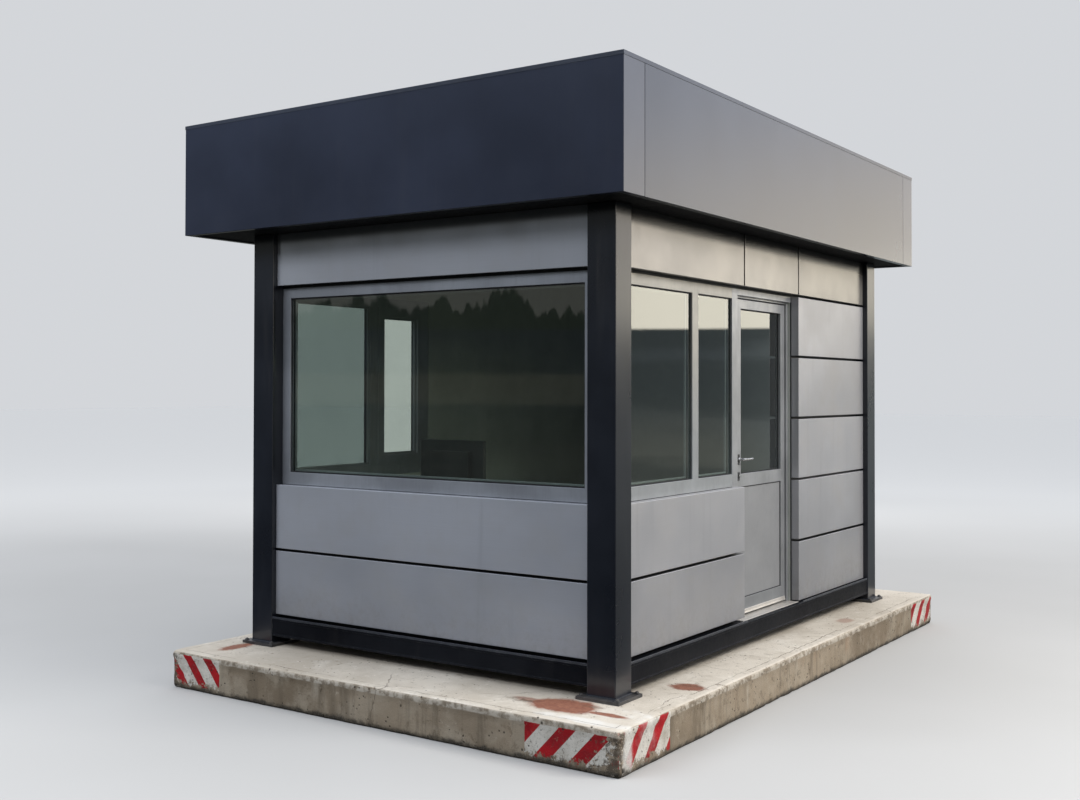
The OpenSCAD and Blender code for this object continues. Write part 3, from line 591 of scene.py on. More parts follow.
    # pits
    pit_v = m.voronoi(30, rand=1.0)
    pits = m.mul(m.rng(pit_v, 0.10, 0.20, 1.0, 0.0), m.rng(m.noise(6.5, 3, 0.6), 0.49, 0.58))
    pit_b = m.mul(m.rng(m.voronoi(15, rand=1.0, vec=m.mixv(0.03)), 0.07, 0.13, 1.0, 0.0), m.rng(m.noise(4.1, 3, 0.6), 0.50, 0.58))
    pits = m.math("MAXIMUM", pits, pit_b)
    pit_s = m.mul(m.rng(m.voronoi(85, rand=1.0), 0.06, 0.16, 1.0, 0.0), m.rng(m.noise(9, 3, 0.6), 0.46, 0.60))
    allp = m.math("MAXIMUM", pits, m.mul(pit_s, 0.7))
    col = m.mix(m.mul(allp, 0.85), col, (0.040, 0.031, 0.023))

    # stains on the top: brick red patches, pale smears
    def blob(cx, cy, rx, ry, power=1.0, rag=1.7):
        dx = m.mul(m.math("SUBTRACT", x, cx), 1.0 / rx)
        dy = m.mul(m.math("SUBTRACT", y, cy), 1.0 / ry)
        d = m.math("SQRT", m.add(m.mul(dx, dx), m.mul(dy, dy)))
        d = m.add(d, m.mul(m.math("SUBTRACT", m.noise(5.5, 5, 0.68), 0.5), rag))
        return m.mul(m.rng(d, 0.55, 1.05, 1.0, 0.0), power)

    brick = None
    for b in ((1.17, -2.31, 0.23, 0.150, 1.0, 1.0), (1.43, -2.335, 0.15, 0.040, 0.75, 1.0), (1.50, -1.54, 0.13, 0.10, 0.70), (-1.29, -2.25, 0.07, 0.17, 0.8),
              (0.95, -2.30, 0.13, 0.05, 0.5), (-1.2, 2.40, 0.20, 0.11, 0.7), (1.50, 1.0, 0.07, 0.12, 0.35)):
        v = blob(*b)
        brick = v if brick is None else m.math("MAXIMUM", brick, v)
    col = m.mix(m.math("MINIMUM", m.mul(m.mul(brick, topm), 1.35), 0.94), col, m.mix(m.rng(fine, 0.35, 0.7), (0.175, 0.055, 0.031), (0.270, 0.108, 0.062)))
    pale = m.math("MAXIMUM", blob(1.52, -2.30, 0.20, 0.14), blob(1.43, -2.50, 0.40, 0.06))
    pale = m.mul(pale, m.math("SUBTRACT", 1.0, brick))
    col = m.mix(m.mul(m.mul(pale, m.rng(mid, 0.36, 0.60)), 0.75), col, (0.66, 0.645, 0.60))
    dark = m.math("MAXIMUM", m.math("MAXIMUM", blob(0.91, -2.32, 0.13, 0.055, 1.0, 1.2), blob(1.30, -2.24, 0.10, 0.035, 0.6)), blob(1.50, -1.50, 0.11, 0.03, 0.6))
    col = m.mix(m.mul(m.mul(dark, topm), m.rng(m.noise(22, 5, 0.72), 0.42, 0.60, 0.15, 0.80)), col, (0.090, 0.058, 0.038))
    # fine dark line that runs just inside the arris, and cracks
    inset = m.math("MINIMUM", m.math("MINIMUM", m.math("SUBTRACT", X1, x), m.math("SUBTRACT", x, X0)),
                   m.math("MINIMUM", m.math("SUBTRACT", Y1, y), m.math("SUBTRACT", y, Y0)))
    wav = m.add(inset, m.mul(m.math("SUBTRACT", m.noise(3.0, 6, 0.72), 0.5), 0.075))
    line = m.rng(m.math("ABSOLUTE", m.math("SUBTRACT", wav, 0.062)), 0.0012, 0.0040, 1.0, 0.0)
    line = m.mul(m.mul(line, topm), m.rng(m.noise(2.1, 4, 0.7), 0.40, 0.56))
    col = m.mix(m.mul(line, 0.75), col, (0.10, 0.078, 0.058))
    crack = m.rng(m.voronoi(0.9, "DISTANCE_TO_EDGE", vec=m.mixv(0.10)), 0.0, 0.0030, 1.0, 0.0)
    crack = m.mul(crack, m.rng(m.noise(1.3, 3, 0.6), 0.50, 0.60))
    col = m.mix(m.mul(crack, 0.6), col, (0.09, 0.07, 0.052))
    # darker on the top next to and below the cabin, and a dark foot
    under = m.rng(m.math("MAXIMUM", m.math("SUBTRACT", m.math("ABSOLUTE", x), 1.20), m.math("SUBTRACT", m.math("ABSOLUTE", m.add(y, 0.02)), 1.95)), -0.06, 0.18, 1.0, 0.0)
    col = m.mix(m.mul(m.mul(under, topm), 0.40), col, (0.15, 0.125, 0.095))
    foot = m.rng(m.add(z, m.mul(m.math("SUBTRACT", m.noise(13, 6, 0.75), 0.5), 0.110)), 0.006, 0.040, 1.0, 0.0)
    col = m.mix(m.mul(foot, 0.90), col, m.mix(m.rng(grit, 0.42, 0.62), (0.030, 0.025, 0.020), (0.105, 0.092, 0.075)))
    col = m.mix(m.mul(m.rng(grit, 0.58, 0.72), 0.22), col, (0.16, 0.14, 0.11))
    h = m.add(m.mul(fine, 0.9), m.mul(grit, 0.5))
    h = m.math("SUBTRACT", h, m.mul(allp, 1.5))
    h = m.math("SUBTRACT", h, m.mul(m.math("MAXIMUM", line, crack), 1.2))
    h = m.add(h, m.mul(m.mul(whites, keep), 0.25))
    r = m.rng(fine, 0.3, 0.7, 0.80, 0.95)
    return m.done(col, m.math("SUBTRACT", r, m.mul(m.mul(whites, keep), 0.22)), 0.0, m.bump(h, 0.55, 0.004), spec=0.35)


def _mixv(self, amount):
    """The position, pushed about by noise."""
    n = self.noise(3.2, 4, 0.6, colour=True)
    sub = self.t.nodes.new("ShaderNodeVectorMath")
    sub.operation = "MULTIPLY_ADD"
    self.put(sub.inputs[0], n)
    sub.inputs[1].default_value = (amount,) * 3
    self.put(sub.inputs[2], self.pos)
    return sub.outputs[0]


Mat.mixv = _mixv


def board(name, base, step, axis=0, rough=0.45, inner=None, outer=None):
    """Insulated wall lining. The outside of the core is black felt."""
    m = Mat(name)
    n = m.noise(2.6, 4, 0.6)
    col = m.mix(m.rng(n, 0.3, 0.7), tuple(c * 0.85 for c in base), base)
    col = m.mix(m.mul(m.rng(m.noise(30, 4, 0.7), 0.5, 0.75), 0.10), col, (0.08, 0.075, 0.065))
    low = m.mul(m.rng(m.axis(2), 0.40, 0.75, 1.0, 0.0), m.rng(m.noise(8, 4, 0.7), 0.4, 0.7))
    col = m.mix(m.mul(low, 0.4), col, (0.10, 0.09, 0.075))
    if outer:
        k, lim, sign = outer
        c = m.mul(m.math("SUBTRACT", m.axis(k), lim), float(sign))
        o = m.rng(c, -0.001, 0.001, 0.0, 1.0, smooth=False)
        felt = m.mix(m.rng(m.noise(60, 3, 0.6), 0.3, 0.7), (0.006, 0.006, 0.007), (0.016, 0.016, 0.017))
        col = m.mix(o, col, felt)
    h = m.add(m.mul(m.noise(240, 2, 0.5), 0.4), m.mul(n, 0.4))
    return m.done(col, m.rng(n, 0.3, 0.7, rough - 0.06, rough + 0.10), 0.0, m.bump(h, 0.10, 0.001))


def simple(name, a, b, rough=(0.4, 0.6), metal=0.0, scale=6.0, fine=220, strength=0.12, spec=0.5, grime=0.2, wear=0.0):
    m = Mat(name)
    n = m.noise(scale, 5, 0.62)
    col = m.mix(m.rng(n, 0.3, 0.7), a, b)
    g = m.rng(m.noise(scale * 2.7, 5, 0.7, 0.2), 0.52, 0.80)
    col = m.mix(m.mul(g, grime), col, (0.10, 0.09, 0.075))
    if wear:
        e = m.mul(m.edge(0.003), m.rng(m.noise(30, 3, 0.6), 0.3, 0.65, 0.3, 1.0))
        col = m.mix(m.mul(e, wear), col, tuple(min(1.0, c * 2.2 + 0.12) for c in b))
    r = m.add(m.rng(n, 0.3, 0.7, rough[0], rough[1]), m.mul(g, 0.08))
    return m.done(col, r, metal, m.bump(m.noise(fine, 3, 0.6), strength, 0.0012), spec=spec)


def wood():
    m = Mat("desk_laminate")
    g = m.noise(5, 6, 0.6, 1.4, sc=(0.35, 3.2, 3.2))
    f = m.noise(60, 4, 0.6, 0.2, sc=(0.06, 1.0, 1.0))
    col = m.mix(m.rng(g, 0.32, 0.68), (0.135, 0.085, 0.050), (0.24, 0.165, 0.10))
    col = m.mix(m.mul(m.rng(f, 0.45, 0.7), 0.4), col, (0.075, 0.045, 0.026))
    e = m.edge(0.003)
    col = m.mix(m.mul(e, 0.3), col, (0.36, 0.27, 0.18))
    return m.done(col, m.rng(f, 0.3, 0.7, 0.38, 0.52), 0.0, m.bump(f, 0.08, 0.0008))


def membrane():
    m = Mat("roof_membrane")
    n = m.noise(1.1, 5, 0.62, 0.3)
    g = m.noise(240, 3, 0.6)
    col = m.mix(m.rng(n, 0.3, 0.7), (0.115, 0.118, 0.122), (0.19, 0.19, 0.19))
    col = m.mix(m.mul(m.rng(m.noise(2.7, 5, 0.65, 0.4), 0.50, 0.70), 0.6), col, (0.245, 0.225, 0.19))
    pud = m.rng(m.noise(0.7, 3, 0.5), 0.56, 0.60)
    col = m.mix(m.mul(pud, 0.35), col, (0.075, 0.070, 0.062))
    col = m.mix(m.mul(m.rng(g, 0.50, 0.70), 0.45), col, (0.30, 0.30, 0.30))
    return m.done(col, m.rng(n, 0.3, 0.7, 0.78, 0.95), 0.0, m.bump(g, 0.5, 0.002), spec=0.3)


DARK = (0.0050, 0.0064, 0.0106)
M = {
    "post": painted("post_paint", DARK, dust_amount=0.012, rough=0.28, coat=0.52, spec=0.45, specks=0.02, peel_at=0.03, smooth=True),
    "plate": painted("plate_paint", (0.007, 0.008, 0.011), dust_amount=0.24, dust_low=0.10, rough=0.45, coat=0.1, wear=0.5, dust_at=0.22),
    "beam": painted("beam_paint", (0.0030, 0.0036, 0.0054), dust_amount=0.01, dust_low=0.20, rough=0.42, coat=0.0, wear=0.5, spec=0.05, specks=0.05, streaks=0.012),
    "angle": painted("closure_paint", (0.0160, 0.0185, 0.0250), dust_amount=0.10, dust_low=0.20, rough=0.34, coat=0.1, wear=0.9, spec=0.5, specks=0.05),
    "band": painted("band_paint", (0.0086, 0.0122, 0.0250), dust_amount=0.012, dust_at=2.8, rough=0.30, coat=0.30, wear=0.25, scale=0.6, streaks=0.012, peel_at=0.03, specks=0.05, smooth=True),
    # painted light: the side bands and the corner returns take paler copies of the one band paint, standing in for the
    # sky's reflection on the side faces
    "band_side": painted("band_paint_side_lit_copy", (0.0240, 0.0285, 0.0390), dust_amount=0.012, dust_at=2.8, rough=0.26, coat=0.58, wear=0.25, scale=0.6, streaks=0.012, peel_at=0.03, specks=0.05, smooth=True),
    "band_return": painted("band_paint_return_lit_copy", (0.034, 0.038, 0.050), dust_amount=0.012, dust_at=2.8, rough=0.28, coat=0.62, wear=0.25, scale=0.6, streaks=0.012, peel_at=0.03, specks=0.05, smooth=True),
    "coping": painted("coping_paint", (0.0150, 0.0190, 0.0300), dust_amount=0.03, dust_at=3.3, rough=0.28, coat=0.55, wear=0.08, scale=0.6, streaks=0.012, peel_at=0.03, specks=0.05, smooth=True),
    "soffit": painted("soffit_paint", (0.0085, 0.0090, 0.0105), spec=0.08, dust_amount=0.05, dust_at=2.7, rough=0.55, coat=0.0, wear=0.2),
    # painted light: the front and back trays take a paler, bluer copy of the cladding colour than the side trays, set
    # for the light on each wall
    "front_tray": tray_metal("cladding_metal_front_lit_copy", (0.515, 0.530, 0.575)),
    "side_tray": tray_metal("cladding_metal_side_lit_copy", (0.486, 0.484, 0.500), seam=1.0),
    "frame": aluminium("frame_aluminium_coat", (0.375, 0.390, 0.420)),
    # painted light: the right window's frame takes a warmer, paler copy of the frame colour, cooler lower down,
    # standing in for the sky's reflection on that side
    "frame_side": aluminium("frame_coat_side_lit_copy", (0.435, 0.418, 0.375), metal=0.45, rough=0.38, grime=0.35, cloud=0.6, low=(0.352, 0.366, 0.374)),
    "door": aluminium("door_aluminium_coat", (0.415, 0.420, 0.428), low=(0.352, 0.358, 0.366), span=(0.55, 1.80)),
    "sheet": aluminium("door_sheet_coat", (0.318, 0.319, 0.324), metal=0.40, rough=0.42, grime=0.25, cloud=0.35),
    "threshold": aluminium("threshold_metal", (0.62, 0.585, 0.535), metal=0.55, rough=0.34, grime=0.5),
    "steel": aluminium("lever_steel_brushed", (0.60, 0.60, 0.60), metal=0.95, rough=0.24, grime=0.15),
    "hinge": aluminium("hinge_metal_coat", (0.34, 0.345, 0.35), metal=0.8, rough=0.36),
    "rubber": rubber(),
    "glass": glass("window_glass_tint"),
    "concrete": concrete(),
    "lock": simple("lock_dark_cast", (0.020, 0.020, 0.021), (0.042, 0.042, 0.044), (0.35, 0.5), 0.2, 30, 400, 0.10, wear=0.35),
    "ceiling": simple("ceiling_white_coat", (0.50, 0.50, 0.49), (0.60, 0.60, 0.585), (0.45, 0.6), 0.0, 1.6, 240, 0.08),
    "floor": simple("floor_covering_vinyl", (0.085, 0.085, 0.084), (0.14, 0.138, 0.13), (0.45, 0.62), 0.0, 2.4, 300, 0.10, grime=0.45),
    "plastic": simple("monitor_plastic_black", (0.012, 0.012, 0.013), (0.022, 0.022, 0.023), (0.38, 0.5), 0.0, 8, 420, 0.15, wear=0.15),
    "weld": simple("weld_bead_paint", (0.015, 0.018, 0.024), (0.034, 0.036, 0.042), (0.4, 0.6), 0.1, 30, 160, 0.4, wear=0.3),
    "bolt": simple("anchor_zinc", (0.060, 0.058, 0.056), (0.13, 0.125, 0.12), (0.4, 0.6), 0.6, 40, 300, 0.2, grime=0.6, wear=0.5),
    "membrane": membrane(),
    "wood": wood(),
    "screen": simple("screen_black", (0.004, 0.004, 0.005), (0.007, 0.007, 0.008), (0.12, 0.2), 0.0, 4, 100, 0.02, grime=0.05),
}


# ------------------------------------------------------------------ mesh tools
def vnoise(P, freq, seed=0):
    """Smooth value noise, -1..1, for an n x 3 array."""
    Q = np.asarray(P, float) * freq + seed * 17.31
    I = np.floor(Q).astype(np.int64)
    F = Q - I
    F = F * F * (3 - 2 * F)
    out = 0
    for dx in (0, 1):
        for dy in (0, 1):
            for dz in (0, 1):
                h = ((I[:, 0] + dx) * 374761393 + (I[:, 1] + dy) * 668265263 + (I[:, 2] + dz) * 2147483647 + seed * 1274126177) & 0xFFFFFFFF
                h = ((h ^ (h >> 13)) * 1274126177) & 0xFFFFFFFF
                h = (h ^ (h >> 16)) & 0xFFFF
                w = (F[:, 0] if dx else 1 - F[:, 0]) * (F[:, 1] if dy else 1 - F[:, 1]) * (F[:, 2] if dz else 1 - F[:, 2])
                out = out + w * (h / 32767.5 - 1)
    return out


def fbm(P, freq, octaves=4, seed=0, gain=0.5):
    a, s, t = 1.0, 0.0, 0.0
    for k in range(octaves):
        s = s + a * vnoise(P, freq * 2 ** k, seed + k)
        t += a
        a *= gain
    return s / t


def mesh_object(name, verts, faces, mat, body="booth", slot=None, nodes=(), smooth=True, weighted=True, tone=None, recalc=False):
    me = bpy.data.meshes.new(name)
    me.from_pydata([tuple(map(float, v)) for v in verts], [], [tuple(map(int, f)) for f in faces])
    if recalc:
        bm = bmesh.new()
        bm.from_mesh(me)
        bmesh.ops.recalc_face_normals(bm, faces=bm.faces)
        bm.to_mesh(me)
        bm.free()
    me.update()
    me.polygons.foreach_set("use_smooth", [bool(smooth)] * len(me.polygons))
    if tone is not None:
        at = me.attributes.new("tone", "FLOAT", "POINT")
        at.data.foreach_set("value", np.asarray(tone, np.float32))
    me.materials.append(mat)
    o = bpy.data.objects.new(name, me)
    scene.collection.objects.link(o)
    if smooth and weighted:
        wn = o.modifiers.new("flat_faces", "WEIGHTED_NORMAL")
        wn.weight = 100
        wn.keep_sharp = True
    if nodes:
        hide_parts(*nodes)
    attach(o, body)
    return o


def lattice(lo, hi, r, step, seg=2, cuts=((), (), ())):
    """Surface points and quads of a box, with close rows along its edges."""
    ax = []
    for k in range(3):
        a, b = lo[k], hi[k]
        rr = min(r, (b - a) * 0.49)
        edge = [a + rr * (1 - math.tan(math.pi / 4 * j / seg)) for j in range(seg, 0, -1)]
        n = max(1, int(math.ceil((b - a - 2 * rr) / step[k])))
        mid = list(np.linspace(a + rr, b - rr, n + 1))
        mid = sorted(set(np.round(mid + [c for c in cuts[k] if a + rr < c < b - rr], 6)))
        ax.append(np.array(edge + mid + [a + b - q for q in reversed(edge)]))
    nx, ny, nz = (len(q) for q in ax)
    I, J, K = np.meshgrid(np.arange(nx), np.arange(ny), np.arange(nz), indexing="ij")
    surf = (I == 0) | (I == nx - 1) | (J == 0) | (J == ny - 1) | (K == 0) | (K == nz - 1)
    idx = np.full((nx, ny, nz), -1, int)
    idx[surf] = np.arange(surf.sum())
    P = np.stack([ax[0][I[surf]], ax[1][J[surf]], ax[2][K[surf]]], 1)
    quads = []

    def sheet(g, flip):
        a, b, c, d = g[:-1, :-1], g[1:, :-1], g[1:, 1:], g[:-1, 1:]
        q = np.stack([a, b, c, d] if not flip else [a, d, c, b], -1).reshape(-1, 4)
        quads.append(q)

    sheet(idx[0], True)
    sheet(idx[-1], False)
    sheet(idx[:, 0], False)
    sheet(idx[:, -1], True)
    sheet(idx[:, :, 0], True)
    sheet(idx[:, :, -1], False)
    return P, np.concatenate(quads)


def rounded(P, lo, hi, r):
    lo, hi = np.array(lo, float), np.array(hi, float)
    r = np.broadcast_to(np.asarray(r, float), (len(P),))[:, None]
    r = np.minimum(r, ((hi - lo) * 0.49).min())
    C = np.clip(P, lo + r, hi - r)
    D = P - C
    n = np.linalg.norm(D, axis=1, keepdims=True)
    return np.where(n > 1e-9, C + D / np.maximum(n, 1e-9) * r, P)


class Parts:
    """Collects shells into one mesh."""

    def __init__(self):
        self.V, self.F, self.T, self.n = [], [], [], 0

    def add(self, V, F, tone=0.5):
        V = np.asarray(V, float)
        self.V.append(V)
        self.F += [tuple(int(i) + self.n for i in f) for f in F]
        self.T.append(np.full(len(V), tone))
        self.n += len(V)

    def box(self, lo, hi, r=0.002, step=1.0, seg=2, tone=0.5, move=None):
        lo, hi = np.array(lo, float), np.array(hi, float)
        st = (step,) * 3 if isinstance(step, (int, float)) else step
        P, Q = lattice(lo, hi, r, st, seg)
        P = rounded(P, lo, hi, r)
        if move is not None:
            P = move(P)
        self.add(P, Q, tone)

    def make(self, name, mat, **kw):
        V = np.concatenate(self.V)
        return mesh_object(name, V, self.F, mat, tone=np.concatenate(self.T), **kw)


def raw(node):
    """Merged corner points and faces of a CAD node."""
    me = NODES[node].data
    co = np.empty(len(me.vertices) * 3, np.float64)
    me.vertices.foreach_get("co", co)
    co = np.round(co.reshape(-1, 3), 5)
    uniq, inv = np.unique(co, axis=0, return_inverse=True)
    inv = inv.reshape(-1)
    faces = []
    for p in me.polygons:
        f = [int(inv[i]) for i in p.vertices]
        g = [v for i, v in enumerate(f) if v != f[i - 1]]
        if len(set(g)) >= 3:
            faces.append(g)
    return uniq, faces


def clean(node, name, mat, bevel=0.0015, seg=2, body=None, also=(), angle=25):
    """The CAD node's shape as one closed piece, with its edges rounded over."""
    V, F = raw(node)
    bm = bmesh.new()
    vs = [bm.verts.new(v) for v in V]
    for f in F:
        try:
            bm.faces.new([vs[i] for i in f])
        except ValueError:
            pass
    bmesh.ops.remove_doubles(bm, verts=bm.verts, dist=3e-5)
    bmesh.ops.dissolve_limit(bm, angle_limit=math.radians(1.0), use_dissolve_boundaries=False, verts=bm.verts, edges=bm.edges)
    bmesh.ops.recalc_face_normals(bm, faces=bm.faces)
    edges = [e for e in bm.edges if len(e.link_faces) == 2 and e.calc_face_angle(0) > math.radians(angle)]
    if bevel > 0:
        bmesh.ops.bevel(bm, geom=edges, offset=bevel, offset_type="OFFSET", segments=seg, profile=0.5, affect="EDGES", clamp_overlap=True)
    me = bpy.data.meshes.new(name)
    bm.to_mesh(me)
    bm.free()
    me.polygons.foreach_set("use_smooth", [True] * len(me.polygons))
    me.set_sharp_from_angle(angle=math.radians(50))
    me.materials.append(mat)
    o = bpy.data.objects.new(name, me)
    scene.collection.objects.link(o)
    wn = o.modifiers.new("flat_faces", "WEIGHTED_NORMAL")
    wn.weight = 100
    wn.keep_sharp = True
    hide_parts(node, *also)
    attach(o, body or NODES[node]["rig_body"])
    return o


def keep(node, mat):
    o = NODES[node]
    o.data.materials.clear()
    o.data.materials.append(mat)
    for s in o.material_slots:
        s.material = mat
    return o


# walls: u runs along the wall, w is height, d is depth into the wall from a face plane
def on_front(face):
    return lambda u, w, d: (u, face + d, w)


def on_back(face):
    return lambda u, w, d: (u, face - d, w)


def on_right(face):
    return lambda u, w, d: (face - d, u, w)


def on_left(face):
    return lambda u, w, d: (face + d, u, w)


def ring(parts, place, rect, profile, tone=0.5, mitre=0.0):
    """A closed profile of (inward offset, depth) swept round a rectangle, mitred at its corners. With mitre, a hairline gap is left at each corner."""
    u0, u1, w0, w1 = rect
    n = len(profile)
    if mitre <= 0:
        V, F = [], []
        for cu, cw, su, sw in ((u0, w0, 1, 1), (u1, w0, -1, 1), (u1, w1, -1, -1), (u0, w1, 1, -1)):
            for o, d in profile:
                V.append(place(cu + su * o, cw + sw * o, d))
        for c in range(4):
            e = (c + 1) % 4
            for i in range(n):
                j = (i + 1) % n
                F.append((c * n + i, e * n + i, e * n + j, c * n + j))
        parts.add(V, F, tone)
        return
    cs = [(u0, w0, 1, 1), (u1, w0, -1, 1), (u1, w1, -1, -1), (u0, w1, 1, -1)]
    for c in range(4):
        e = (c + 1) % 4
        (au, aw, asu, asw), (bu, bw, bsu, bsw) = cs[c], cs[e]
        du, dw = np.sign(bu - au), np.sign(bw - aw)
        V = [place(au + asu * o + du * mitre, aw + asw * o + dw * mitre, d) for o, d in profile]
        V += [place(bu + bsu * o - du * mitre, bw + bsw * o - dw * mitre, d) for o, d in profile]
        F = [(i, n + i, n + (i + 1) % n, (i + 1) % n) for i in range(n)]
        F += [tuple(range(n))[::-1], tuple(range(n, 2 * n))]
        parts.add(V, F, tone)


def soft_rect(o0, o1, d0, d1, r, seg=2):
    """A rectangle profile in (offset, depth) with rounded corners."""
    r = min(r, abs(o1 - o0) * 0.45, abs(d1 - d0) * 0.45)
    pts = []
    for (cx, cy, a0) in ((o0 + r, d0 + r, 180), (o1 - r, d0 + r, 270), (o1 - r, d1 - r, 0), (o0 + r, d1 - r, 90)):
        for k in range(seg + 1):
            a = math.radians(a0 + 90 * k / seg)
            pts.append((cx + r * math.cos(a), cy + r * math.sin(a)))
    return pts


def extrude(parts, profile, a, b, place, tone=0.5, cuts=()):
    """A closed profile carried from a to b; place(s, p, q) gives the point."""
    n = len(profile)
    st = [a, *cuts, b]
    V = [place(s, p, q) for s in st for p, q in profile]
    F = []
    for k in range(len(st) - 1):
        F += [(k * n + i, k * n + (i + 1) % n, (k + 1) * n + (i + 1) % n, (k + 1) * n + i) for i in range(n)]
    F += [tuple(range(n))[::-1], tuple(range((len(st) - 1) * n, len(st) * n))]
    parts.add(V, F, tone)


def tube(parts, path, radius, sides=20, squash=None, caps=True, tone=0.5):
    """A round bar along a path, closed with flat caps when caps is set. radius may be a list."""
    P = np.asarray(path, float)
    R = np.broadcast_to(np.asarray(radius, float), (len(P),))
    T = np.gradient(P, axis=0)
    T /= np.linalg.norm(T, axis=1, keepdims=True)
    ref = np.array([0, 0, 1.0]) if abs(T[0][2]) < 0.9 else np.array([1.0, 0, 0])
    V = []
    for p, t, r in zip(P, T, R):
        s = np.cross(t, ref)
        s /= np.linalg.norm(s)
        u = np.cross(s, t)
        for k in range(sides):
            a = 2 * math.pi * k / sides
            ca, sa = math.cos(a), math.sin(a)
            k1, k2 = (1, 1) if squash is None else squash
            V.append(p + r * (ca * s * k1 + sa * u * k2))
    n = len(P)
    F = [(i * sides + k, i * sides + (k + 1) % sides, (i + 1) * sides + (k + 1) % sides, (i + 1) * sides + k) for i in range(n - 1) for k in range(sides)]
    if caps:
        F += [tuple(range(sides))[::-1], tuple(range((n - 1) * sides, n * sides))]
    parts.add(V, F, tone)


def lathe(parts, centre, axis, prof, sides=24, tone=0.5, flat=None):
    """A turned shape: prof is a list of (along, radius); both ends close."""
    c, a = np.array(centre, float), np.array(axis, float)
    a /= np.linalg.norm(a)
    ref = np.array([0, 0, 1.0]) if abs(a[2]) < 0.9 else np.array([1.0, 0, 0])
    s = np.cross(a, ref)
    s /= np.linalg.norm(s)
    u = np.cross(s, a)
    V, F = [], []
    for h, r in prof:
        for k in range(sides):
            t = 2 * math.pi * (k + 0.5) / sides
            V.append(c + a * h + r * (math.cos(t) * s + math.sin(t) * u))
    n = len(prof)
    F = [(i * sides + k, i * sides + (k + 1) % sides, (i + 1) * sides + (k + 1) % sides, (i + 1) * sides + k) for i in range(n - 1) for k in range(sides)]
    F += [tuple(range(sides))[::-1], tuple(range((n - 1) * sides, n * sides))]
    parts.add(V, F, tone)


# ------------------------------------------------------------------ sizes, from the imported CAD
B = {n: tuple(np.array(v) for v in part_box(n)) for n in NODES}
PX, PY = B["corner_posts"][1][0], None
post_lo, post_hi = B["corner_posts"]
isl_lo, isl_hi = B["concrete_island"]
top_z = isl_hi[2]
POST = 0.175
cx, cy = (post_lo[0] + post_hi[0]) / 2, (post_lo[1] + post_hi[1]) / 2
Z0 = post_lo[2]


# ------------------------------------------------------------------ island
def island():
    lo, hi = isl_lo, isl_hi
    P, Q = lattice(lo, hi, 0.034, (0.045, 0.045, 0.022), seg=4)
    N = fbm(P, 5.0, 4, 3)
    N2 = fbm(P, 22.0, 3, 9)
    r = 0.013 + 0.010 * N + 0.006 * N2 + 0.012 * np.clip(fbm(P, 2.2, 3, 21) - 0.15, 0, 1)
    # the upright corners are cast round, the foot is sharper
    near_x = np.minimum(P[:, 0] - lo[0], hi[0] - P[:, 0])
    near_y = np.minimum(P[:, 1] - lo[1], hi[1] - P[:, 1])
    corner = np.clip(1 - np.maximum(near_x, near_y) / 0.06, 0, 1)
    r = r + 0.012 * corner
    foot = np.clip(1 - (P[:, 2] - lo[2]) / 0.05, 0, 1)
    r = r * (1 - 0.5 * foot)
    r = np.clip(r, 0.004, 0.033)
    R = rounded(P, lo, hi, r)
    # inward direction on each side
    side_x = (np.minimum(R[:, 0] - lo[0], hi[0] - R[:, 0]) < 0.030)
    side_y = (np.minimum(R[:, 1] - lo[1], hi[1] - R[:, 1]) < 0.030)
    nx = np.where(side_x, np.where(R[:, 0] > 0, -1.0, 1.0), 0.0)
    ny = np.where(side_y, np.where(R[:, 1] > 0, -1.0, 1.0), 0.0)
    top = np.clip((R[:, 2] - (hi[2] - 0.004)) / 0.004, 0, 1)
    # the face stands back a little under the cast top strip
    line = 0.196 + 0.004 * fbm(P * [1, 1, 0], 3.0, 3, 31)
    back = np.clip((line - R[:, 2]) / 0.006, 0, 1) * 0.0045
    wavy = 0.0030 * (fbm(P, 3.1, 3, 41) * 0.5 + 0.5) + 0.0012 * (N2 * 0.5 + 0.5)
    gouge = np.clip(fbm(P, 9.0, 3, 51) - 0.42, 0, 1) * 0.05
    low = np.clip(1 - (R[:, 2] - lo[2]) / 0.030, 0, 1) * (0.006 + 0.010 * np.clip(fbm(P, 14, 3, 61), 0, 1))
    depth = np.clip(back + wavy + gouge + low, 0, 0.022) * (1 - top)
    R[:, 0] += nx * depth
    R[:, 1] += ny * depth
    # upright joint in the front face
    dj = np.abs(R[:, 0] - (-0.288 + 0.012 * fbm(P, 9, 2, 71)))
    onf = (R[:, 1] < lo[1] + 0.03)
    # the top is nearly flat: shallow dishes and spalls, none of them under the plates
    px = np.abs(np.abs(R[:, 0] - cx) - (post_hi[0] - cx - POST / 2))
    py = np.abs(np.abs(R[:, 1] - cy) - (post_hi[1] - cy - POST / 2))
    free = np.clip((np.maximum(px, py) - 0.14) / 0.03, 0, 1)
    dish = (0.0022 * (fbm(P, 1.3, 3, 81) * 0.5 + 0.5) + 0.02 * np.clip(fbm(P, 11, 3, 91) - 0.50, 0, 1)) * free
    R[:, 2] -= np.where(R[:, 2] > hi[2] - 0.006, dish, 0)
    R[:, 2] = np.clip(R[:, 2], lo[2], hi[2])
    return mesh_object("island_cast", R, Q, M["concrete"], slot="concrete", nodes=("concrete_island",), weighted=False)


island()


